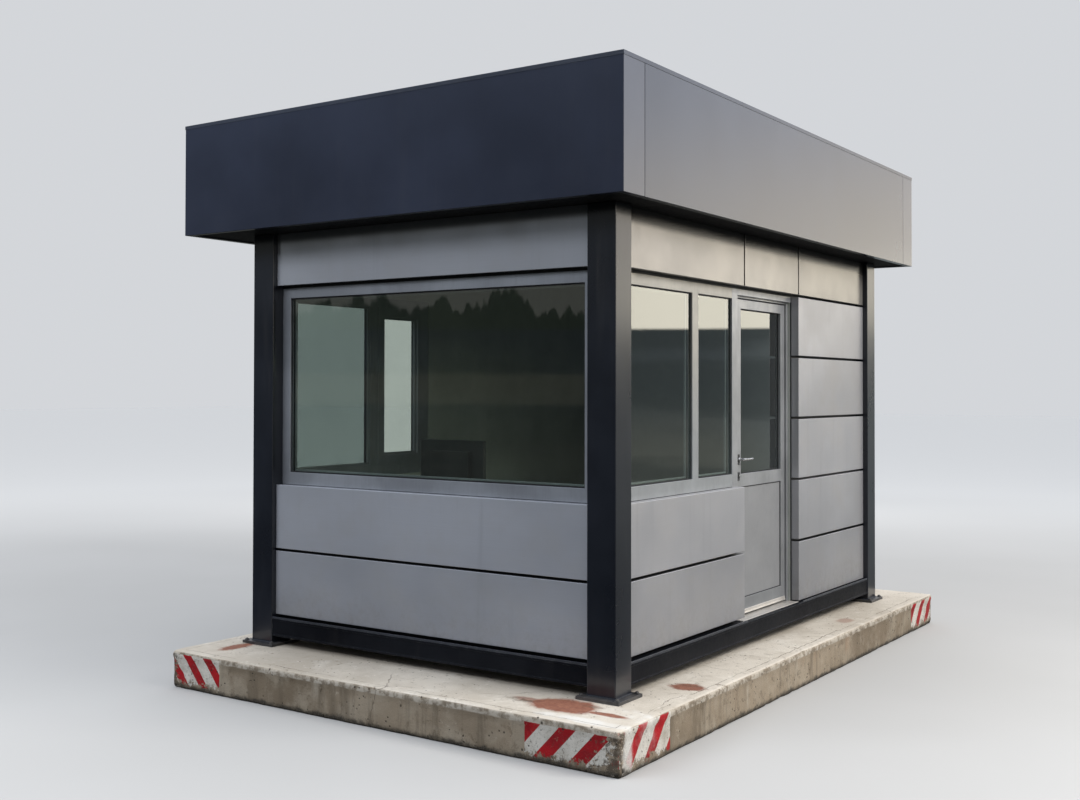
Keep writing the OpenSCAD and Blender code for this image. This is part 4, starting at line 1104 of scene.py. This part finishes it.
# a raised mortar joint on the front face and thin cracks of real depth would be lost in the render at this scale,
# so the joint is a bead of its own
def island_joint():
    P = Parts()
    n = 26
    y = isl_lo[1] + 0.0102
    path, rad = [], []
    for i in range(n):
        t = i / (n - 1)
        z = 0.018 + t * 0.185
        x = -0.274 - 0.018 * t + 0.004 * math.sin(t * 9.0) + 0.003 * math.sin(t * 23.0)
        path.append((x, y + 0.0012 * math.sin(t * 31), z))
        rad.append(0.0055 + 0.0016 * math.sin(t * 17 + 1) + 0.0009 * math.sin(t * 41))
    tube(P, path, rad, 10)
    P.make("island_joint_bead", M["concrete"], slot="concrete", weighted=False)


island_joint()

# ------------------------------------------------------------------ posts, plates, beams
corners = [(sx, sy) for sx in (-1, 1) for sy in (-1, 1)]
dx, dy = post_hi[0] - cx - POST / 2, post_hi[1] - cy - POST / 2


def posts():
    P = Parts()
    for sx, sy in corners:
        c = np.array([cx + sx * dx, cy + sy * dy])
        lo = (c[0] - POST / 2, c[1] - POST / 2, post_lo[2])
        hi = (c[0] + POST / 2, c[1] + POST / 2, post_hi[2])
        P.box(lo, hi, 0.006, (0.06, 0.06, 0.12), 3)
    P.make("corner_post_tubes", M["post"], slot="post_paint", nodes=("corner_posts",))
    W = Parts()
    for sx, sy in corners:
        c = np.array([cx + sx * dx, cy + sy * dy])
        h = POST / 2 + 0.0005
        pts, rad = [], []
        k = 0
        for (ax, ay), (bx, by) in zip(((-1, -1), (1, -1), (1, 1), (-1, 1)), ((1, -1), (1, 1), (-1, 1), (-1, -1))):
            for t in np.linspace(0.02, 0.98, 30):
                pts.append((c[0] + h * (ax + (bx - ax) * t), c[1] + h * (ay + (by - ay) * t), post_lo[2] + 0.0012))
                rad.append(0.0046 + 0.0009 * math.sin(k * 1.9) + 0.0005 * math.sin(k * 5.1))
                k += 1
        pts.append(pts[0])
        rad.append(rad[0])
        tube(W, pts, rad, 8)
    W.make("post_foot_welds", M["weld"], slot="post_paint", weighted=False)


posts()
clean("base_plates", "post_base_plates", M["plate"], bevel=0.0016)


def anchors():
    P = Parts()
    z = B["base_plates"][1][2]
    for sx, sy in corners:
        c = np.array([cx + sx * dx, cy + sy * dy])
        for ax in (-1, 1):
            for ay in (-1, 1):
                q = (c[0] + ax * (POST / 2 + 0.022), c[1] + ay * (POST / 2 + 0.022), z)
                lathe(P, q, (0, 0, 1), [(-0.016, 0.0075), (0.0, 0.0075), (0.0, 0.0155), (0.0022, 0.0162), (0.0030, 0.0155), (0.0030, 0.004)], 24)
                lathe(P, q, (0, 0, 1), [(0.0030, 0.0118), (0.0045, 0.0128), (0.0085, 0.0128), (0.0100, 0.0112), (0.0100, 0.0050)], 6)
                lathe(P, q, (0, 0, 1), [(0.0095, 0.0056), (0.0128, 0.0056), (0.0140, 0.0044)], 16)
    o = P.make("anchor_bolts", M["bolt"], slot="plate_paint")
    o.data.set_sharp_from_angle(angle=math.radians(35))


anchors()


def beams():
    """Folded channel: upright web with a small lip along its top and foot."""
    P = Parts()
    lo, hi = B["sill_beams"]
    z0, z1 = lo[2], hi[2]
    prof = [(0.0, z0), (0.0, z0 + 0.011), (0.0022, z0 + 0.0135), (0.0032, z0 + 0.016), (0.0032, z1 - 0.017), (0.0022, z1 - 0.0145),
            (0.0, z1 - 0.012), (0.0, z1 - 0.002), (0.002, z1), (0.098, z1), (0.100, z1 - 0.002), (0.100, z0 + 0.002), (0.098, z0), (0.0015, z0)]
    prof[0] = (0.0, z0 + 0.0015)
    xa, xb = post_lo[0] + POST, post_hi[0] - POST
    ya, yb = post_lo[1] + POST, post_hi[1] - POST
    extrude(P, prof, xa, xb, lambda s, p, q: (s, lo[1] + p, q), 0.4)
    extrude(P, prof, xa, xb, lambda s, p, q: (s, hi[1] - p, q), 0.6)
    extrude(P, prof, ya, yb, lambda s, p, q: (hi[0] - p, s, q), 0.5)
    extrude(P, prof, ya, yb, lambda s, p, q: (lo[0] + p, s, q), 0.3)
    o = P.make("sill_beam_channels", M["beam"], slot="beam_paint", nodes=("sill_beams",), recalc=True)
    o.data.set_sharp_from_angle(angle=math.radians(40))


beams()

# ------------------------------------------------------------------ walls, floor, ceiling
LIN = (0.470, 0.485, 0.440)
fw_lo, fw_hi = B["front_wall_lower"]
for n, outer in (("front_wall_lower", (1, fw_lo[1] + 0.004, -1)), ("front_wall_upper", (1, fw_lo[1] + 0.004, -1)),
                 ("back_wall", (1, B["back_wall"][1][1] - 0.004, 1)),
                 ("right_wall_lower", (0, B["right_wall_lower"][1][0] - 0.004, 1)),
                 ("right_wall_upper", (0, B["right_wall_upper"][1][0] - 0.004, 1)),
                 ("right_wall_rear", (0, B["right_wall_rear"][1][0] - 0.004, 1)),
                 ("left_wall_lower", (0, B["left_wall_lower"][0][0] + 0.004, -1)),
                 ("left_wall_upper", (0, B["left_wall_upper"][0][0] + 0.004, -1)),
                 ("left_wall_rear", (0, B["left_wall_rear"][0][0] + 0.004, -1))):
    keep(n, board(n + "_lining", LIN, 1.0, outer=outer))
clean("floor_deck", "floor_boards", M["floor"], bevel=0.0015)
clean("ceiling_panel", "ceiling_boards", M["ceiling"], bevel=0.0015)


# ------------------------------------------------------------------ cladding trays
def shells(node):
    """The separate solids of a CAD node, as boxes."""
    V, F = raw(node)
    parent = list(range(len(V)))

    def find(a):
        while parent[a] != a:
            parent[a] = parent[parent[a]]
            a = parent[a]
        return a

    for f in F:
        for v in f[1:]:
            parent[find(v)] = find(f[0])
    groups = {}
    for i in range(len(V)):
        groups.setdefault(find(i), []).append(i)
    used = {find(f[0]) for f in F}
    return [(V[g].min(0), V[g].max(0)) for k, g in sorted(groups.items()) if k in used]


def trays(node, name, mat, slot, face, sign):
    """Folded trays: rounded folds and a slight waviness of the sheet, all inside the CAD box."""
    P = Parts()
    for i, (lo, hi) in enumerate(sorted(shells(node), key=lambda b: tuple(np.round(b[0], 3)))):
        t = 0.7 * ((math.sin(i * 12.9898 + len(node)) * 43758.5453) % 1.0)
        zc = (lo[2] + hi[2]) / 2
        if node in ("right_panels", "front_panels"):
            # each tray keeps its own tone: lighter and duller ones as they hang on the two seen walls
            low = (0.95, 0.0) if node == "right_panels" else (0.75, 0.25)
            rows = (0.10, 0.50, 0.80, 0.10, 0.20)
            if zc > 2.54:
                t = (0.25 if node == "right_panels" else 0.6) + 0.2 * t
            elif node == "front_panels" or hi[1] < 0.35:
                t = low[0] if zc > 0.80 else low[1]
            else:
                t = rows[min(4, int((zc - 0.40) / 0.427))]

        def move(Q, lo=lo, hi=hi, i=i):
            plane = hi[face] if sign > 0 else lo[face]
            out = np.abs(Q[:, face] - plane) < 0.0005
            d = np.full(len(Q), 1.0)
            for k in range(3):
                if k != face:
                    d = np.minimum(d, np.minimum(Q[:, k] - lo[k], hi[k] - Q[:, k]))
            w = np.clip(d / 0.08, 0, 1)
            amp = 0.0008 * (fbm(Q, 1.6, 2, 5 + i) * 0.5 + 0.5) * w
            Q = Q.copy()
            Q[:, face] -= sign * np.where(out, amp, 0)
            return Q

        st = [0.09, 0.09, 0.09]
        st[face] = 0.06
        P.box(lo, hi, 0.0035, tuple(st), 2, tone=t, move=move)
    return P.make(name, mat, slot=slot, nodes=(node,))


trays("front_panels", "front_cladding_trays", M["front_tray"], "front_cladding", 1, -1)
trays("back_panels", "back_cladding_trays", M["front_tray"], "front_cladding", 1, 1)
trays("right_panels", "right_cladding_trays", M["side_tray"], "side_cladding", 0, 1)
trays("left_panels", "left_cladding_trays", M["side_tray"], "side_cladding", 0, -1)

def closures():
    """Thin closure angle that lies on the sill beams below the trays, stopped short at the door's threshold."""
    P = Parts()
    z0 = B["sill_beams"][1][2]
    z1 = z0 + 0.0120
    bl, bh = B["sill_beams"]
    pl, ph = B["corner_posts"]
    w, t = 0.175, 0.004
    tl, th = B["door_threshold"]
    runs = [(0, pl[0] + w, ph[0] - w, bl[1] + 0.0005, 1), (0, pl[0] + w, ph[0] - w, bh[1] - 0.0005, -1),
            (1, pl[1] + w, ph[1] - w, bl[0] + 0.0005, 1), (1, pl[1] + w, tl[1] - 0.004, bh[0] - 0.0005, -1), (1, th[1] + 0.004, ph[1] - w, bh[0] - 0.0005, -1)]
    for axis, a, b, at, way in runs:
        lo, hi = [0, 0, z0], [0, 0, z1]
        lo[axis], hi[axis] = a + 0.001, b - 0.001
        lo[1 - axis], hi[1 - axis] = min(at, at + way * t), max(at, at + way * t)
        P.box(lo, hi, 0.0012, (0.25, 0.25, 0.25), 2, tone=0.5)
    return P.make("sill_closure_angles", M["angle"], slot="beam_paint")


closures()

# ------------------------------------------------------------------ windows
clean("front_window_frame", "front_window_bars", M["frame"], bevel=0.0022)
clean("right_window_frame", "right_window_bars", M["frame_side"], bevel=0.0022)
clean("left_window_frame", "left_window_bars", M["frame"], bevel=0.0022)
clean("left_window_sash", "left_sash_bars", M["frame"], bevel=0.0022)
for n in ("front_window_glass", "right_window_glass", "door_glass"):
    keep(n, M["glass"])
# the left wall's fixed pane carries a sun film, its sash does not
keep("left_window_glass", glass("left_window_glass_film", (0.585, 0.628, 0.618), split=float(B["left_window_sash"][0][1])))


def openings(node, depth_axis, along):
    """Visible rectangles of the panes in a glass node: the pane less its 8 mm edges."""
    out = []
    for lo, hi in shells(node):
        out.append((lo[along] + 0.008, hi[along] - 0.008, lo[2] + 0.008, hi[2] - 0.008, lo[depth_axis], hi[depth_axis]))
    return out


def glazing():
    G, Bd = Parts(), Parts()
    seal = soft_rect(-0.0005, 0.0075, 0.0, 0.0040, 0.0014)
    # outside seal in front of the pane, inside seal behind it, then a clip bead inside the room
    for node, ax, along, mk, sgn in (("front_window_glass", 1, 0, on_front, 1), ("right_window_glass", 0, 1, on_right, -1), ("left_window_glass", 0, 1, on_left, 1)):
        for u0, u1, w0, w1, d0, d1 in openings(node, ax, along):
            outer = d0 if sgn > 0 else d1
            inner = d1 if sgn > 0 else d0
            if node == "right_window_glass" and u1 > B["right_window_glass"][1][1] - 0.02:
                u1 = B["right_window_glass"][1][1]
            pl = mk(outer)
            ring(G, pl, (u0, u1, w0, w1), [(o, -d) for o, d in seal])
            pl = mk(inner)
            ring(G, pl, (u0, u1, w0, w1), [(o, d) for o, d in seal])
            ring(Bd, pl, (u0, u1, w0, w1), soft_rect(-0.0005, 0.018, 0.0042, 0.0160, 0.003), mitre=0.0004)
    G.make("window_gaskets", M["rubber"], slot="frame_aluminium", recalc=True)
    Bd.make("window_inner_beads", M["frame"], slot="frame_aluminium", recalc=True)


glazing()

# ------------------------------------------------------------------ door
clean("door_frame", "door_frame_bars", M["door"], bevel=0.0020)
clean("door_leaf", "door_leaf_bars", M["door"], bevel=0.0022, body="door")
clean("door_panel", "door_lower_panel", M["sheet"], bevel=0.0015, body="door")
clean("hinge_frame_halves", "hinge_frame_leaves", M["hinge"], bevel=0.0008)
clean("hinge_door_halves", "hinge_door_leaves", M["hinge"], bevel=0.0008, body="door")
clean("door_lock", "door_lock_plates", M["lock"], bevel=0.0012, body="door")
clean("desk", "desk_boards", M["wood"], bevel=0.0015)
clean("monitor", "monitor_case", M["plastic"], bevel=0.004, seg=3)


def door_details():
    lo, hi = B["door_leaf"]
    glo, ghi = B["door_glass"]
    plo, phi = B["door_panel"]
    x_out, x_in = hi[0], lo[0]
    G = Parts()
    seal = soft_rect(-0.0005, 0.0065, 0.0, 0.0038, 0.0014)
    rect = (glo[1] + 0.008, ghi[1] - 0.008, glo[2] + 0.008, ghi[2] - 0.008)
    ring(G, on_right(ghi[0]), rect, [(o, -d) for o, d in seal])
    ring(G, on_right(glo[0]), rect, seal)
    rp = (plo[1] + 0.008, phi[1] - 0.008, plo[2] + 0.008, phi[2] - 0.008)
    ring(G, on_right(phi[0]), rp, [(o, -d) for o, d in soft_rect(-0.0005, 0.0055, 0.0, 0.0036, 0.0012)])
    G.make("door_gaskets", M["rubber"], body="door", slot="door_aluminium", recalc=True)
    # drip strip along the foot, outside
    D = Parts()
    y0, y1 = lo[1] + 0.014 + 0.004, hi[1] - 0.014 - 0.004
    z0 = lo[2] + 0.004
    prof = [(0.0, z0 + 0.028), (0.0022, z0 + 0.027), (0.0034, z0 + 0.022), (0.0042, z0 + 0.010), (0.0080, z0 + 0.0035), (0.0080, z0 + 0.0012), (0.0068, z0), (0.0, z0)]
    extrude(D, prof, y0, y1, lambda s, p, q: (x_out - 0.0003 + p, s, q))
    D.make("door_drip_strip", M["threshold"], body="door", slot="door_aluminium", recalc=True)


door_details()


def lever():
    lo, hi = B["door_lever"]
    kl, kh = B["door_lock"]
    P = Parts()
    zc = (lo[2] + hi[2]) / 2
    leaf_lo, leaf_hi = B["door_leaf"]
    y0 = leaf_lo[1] + 0.014 + 0.022
    for sgn, base in ((1, leaf_hi[0]), (-1, leaf_lo[0])):
        lathe(P, (base + sgn * 0.0068, y0, zc), (sgn, 0, 0), [(0.0, 0.0125), (0.004, 0.0125), (0.0055, 0.0112), (0.0055, 0.009), (0.012, 0.0088)], 28)
        pts = []
        for t in np.linspace(0, 1, 5):
            pts.append((base + sgn * (0.010 + t * 0.022), y0, zc))
        for a in np.linspace(0.15, 1, 9):
            th = a * math.pi / 2
            pts.append((base + sgn * (0.032 + 0.0135 * math.sin(th)), y0 + 0.0135 * (1 - math.cos(th)), zc))
        for t in np.linspace(0.08, 1, 16):
            pts.append((base + sgn * (0.0455 - 0.003 * math.sin(t * math.pi) * 0.5), y0 + 0.0135 + t * (0.131 - 0.0135 - 0.003), zc - 0.0012 * math.sin(t * math.pi)))
        n = len(pts)
        rad = [0.0086] * (n - 16) + list(np.linspace(0.0086, 0.0072, 16))
        tail = np.array(pts[-1])
        for k, (s, r) in enumerate(((0.0022, 0.0066), (0.0038, 0.0052), (0.0048, 0.0030))):
            pts.append(tuple(tail + [0, s, 0]))
            rad.append(r)
        tube(P, pts, rad, 20, squash=(0.92, 1.0))
    P.make("door_lever_handles", M["steel"], body="door", slot="lever_steel", nodes=("door_lever",), weighted=False)
    S = Parts()
    for sgn, base in ((1, leaf_hi[0] + 0.007), (-1, leaf_lo[0] - 0.007)):
        for z in (zc - 0.028, zc + 0.026, zc - 0.132, zc - 0.088):
            lathe(S, (base - sgn * 0.001, y0, z), (sgn, 0, 0), [(0.0, 0.0034), (0.0016, 0.0034), (0.0022, 0.0024), (0.0022, 0.0010), (0.0014, 0.0008)], 14)
        lathe(S, (base + sgn * 0.002, y0, zc - 0.110), (sgn, 0, 0), [(0.0, 0.0082), (0.0030, 0.0082), (0.0038, 0.0074), (0.0038, 0.0030)], 20)
    S.make("door_lock_screws", M["steel"], body="door", slot="lever_steel")


lever()


def threshold():
    lo, hi = B["door_threshold"]
    P = Parts()
    z0, z1 = lo[2], hi[2]
    x0, x1 = lo[0], hi[0]
    # sheet with shallow ribs across the tread and a folded nose
    prof = [(x0, z0), (x0, z1 - 0.0006)]
    x = x0 + 0.004
    while x < x1 - 0.030:
        prof += [(x, z1 - 0.0012), (x + 0.0015, z1), (x + 0.0060, z1), (x + 0.0075, z1 - 0.0012)]
        x += 0.0125
    prof += [(x1 - 0.012, z1 - 0.0004), (x1 - 0.002, z1 - 0.0003), (x1 - 0.0004, z1 - 0.0012), (x1, z0 + 0.0006), (x1 - 0.0006, z0)]
    ys = lo[1] + 0.041
    extrude(P, prof, ys, hi[1], lambda s, p, q: (p, s, q))
    a = B["door_frame"][1][0] + 0.001
    P.box((a, lo[1], z0), (x1, ys + 0.0005, z1), 0.0012, 0.2, 2)
    P.make("door_threshold_sheet", M["threshold"], slot="threshold_aluminium", nodes=("door_threshold",), recalc=True)


threshold()

# ------------------------------------------------------------------ roof
def ends(o):
    """The bands' short returns round the corners face sideways and get the paler return paint: painted light, standing
    in for the sky's reflection on the side faces.
    """
    o.data.materials.append(M["band_return"])
    for p in o.data.polygons:
        if abs(p.normal.x) > 0.75:
            p.material_index = 1


ends(clean("roof_band_front", "roof_band_front_panels", M["band"], bevel=0.0025))
ends(clean("roof_band_back", "roof_band_back_panels", M["band"], bevel=0.0025))
clean("roof_band_right", "roof_band_right_panels", M["band_side"], bevel=0.0020)
clean("roof_band_left", "roof_band_left_panels", M["band_side"], bevel=0.0020)
clean("roof_coping", "roof_coping_cap", M["coping"], bevel=0.0007)
keep("roof_deck", M["membrane"])


def soffit():
    """Soffit boards with open V joints."""
    lo, hi = B["soffit_panel"]
    P = Parts()
    n = 8
    w = (hi[1] - lo[1]) / n
    for k in range(n):
        P.box((lo[0], lo[1] + k * w + 0.0012, lo[2]), (hi[0], lo[1] + (k + 1) * w - 0.0012, hi[2]), 0.0018, 1.0, 2, tone=(k * 0.37) % 1)
    P.make("soffit_boards", M["soffit"], slot="soffit_paint", nodes=("soffit_panel",))


soffit()


def roof_top():
    lo, hi = B["roof_deck"]
    P = Parts()
    z = hi[2]
    # lapped membrane sheets, turned up at the parapet
    n = 5
    w = (hi[1] - lo[1]) / n
    for k in range(n):
        a = lo[1] + k * w - (0.035 if k else 0.0)
        b = lo[1] + (k + 1) * w + (0.035 if k < n - 1 else 0.0)

        def move(Q, k=k):
            Q = Q.copy()
            up = Q[:, 2] > z + 0.0012
            Q[:, 2] += np.where(up, 0.0010 * (fbm(Q, 2.4, 3, 7 + k) * 0.5 + 0.5), 0)
            return Q

        P.box((lo[0] + 0.002, a + 0.002, z - 0.001), (hi[0] - 0.002, b - 0.002, z + 0.0030 + 0.0014 * (k % 2)), 0.0012, (0.12, 0.10, 0.1), 2, tone=0.3 + 0.4 * (k % 2), move=move)
    for a, b, c, d in ((lo[0] + 0.001, lo[0] + 0.006, lo[1] + 0.001, hi[1] - 0.001), (hi[0] - 0.006, hi[0] - 0.001, lo[1] + 0.001, hi[1] - 0.001)):
        P.box((a, c, z), (b, d, z + 0.34), 0.002, (0.1, 0.25, 0.12), 2)
    for c, d in ((lo[1] + 0.001, lo[1] + 0.006), (hi[1] - 0.006, hi[1] - 0.001)):
        P.box((lo[0] + 0.006, c, z), (hi[0] - 0.006, d, z + 0.34), 0.002, (0.25, 0.1, 0.12), 2)
    P.make("roof_membrane_sheets", M["membrane"], slot="roof_membrane")
    C = Parts()
    zc = z + 0.34
    for a, b, c, d in ((lo[0] + 0.0008, lo[0] + 0.010, lo[1] + 0.001, hi[1] - 0.001), (hi[0] - 0.010, hi[0] - 0.0008, lo[1] + 0.001, hi[1] - 0.001)):
        C.box((a, c, zc - 0.002), (b, d, zc + 0.040), 0.0015, (0.1, 0.5, 0.1), 2)
    for c, d in ((lo[1] + 0.0008, lo[1] + 0.010), (hi[1] - 0.010, hi[1] - 0.0008)):
        C.box((lo[0] + 0.010, c, zc - 0.002), (hi[0] - 0.010, d, zc + 0.040), 0.0015, (0.5, 0.1, 0.1), 2)
    C.make("roof_flashing_strips", M["frame"], slot="coping_dark")
    D = Parts()
    q = (lo[0] + 0.42, hi[1] - 0.42, z + 0.004)
    lathe(D, q, (0, 0, 1), [(0.0, 0.11), (0.004, 0.112), (0.008, 0.105), (0.010, 0.080), (0.010, 0.02)], 40)
    for k in range(12):
        a = 2 * math.pi * k / 12
        c, s = math.cos(a), math.sin(a)
        pts = [(q[0] + c * r, q[1] + s * r, q[2] + h) for r, h in ((0.078, 0.008), (0.078, 0.030), (0.070, 0.052), (0.048, 0.068), (0.020, 0.074))]
        tube(D, pts, 0.0042, 8)
    lathe(D, (q[0], q[1], q[2] + 0.068), (0, 0, 1), [(0.0, 0.024), (0.006, 0.026), (0.012, 0.020), (0.014, 0.008)], 24)
    D.make("roof_drain_grate", M["plastic"], slot="roof_membrane")


roof_top()


# ------------------------------------------------------------------ floor
def stage_floor():
    me = bpy.data.meshes.new("studio_floor")
    s = 90.0
    me.from_pydata([(-s, -s, 0), (s, -s, 0), (s, s, 0), (-s, s, 0)], [], [(0, 1, 2, 3)])
    m = Mat("studio_floor_pale")
    n = m.noise(0.35, 3, 0.5)
    x, y = m.axis(0), m.axis(1)
    # painted light: the floor is darker near the booth, where the lamps fall strongest, and paler far out, where it
    # meets the backdrop
    far = m.rng(m.math("SQRT", m.add(m.mul(x, x), m.mul(y, y))), 4.5, 17.0)
    near_c = m.mix(m.rng(n, 0.3, 0.7), (0.425, 0.417, 0.400), (0.445, 0.437, 0.420))
    col = m.mix(far, near_c, (0.754, 0.743, 0.709))
    me.materials.append(m.done(col, 0.9, 0.0, spec=0.0))
    o = bpy.data.objects.new("studio_floor", me)
    scene.collection.objects.link(o)
    o.visible_glossy = False
    o.visible_diffuse = False


stage_floor()

scene.view_settings.view_transform = "Standard"
scene.view_settings.look = "None"
scene.view_settings.exposure = 0.0

bpy.context.view_layer.update()
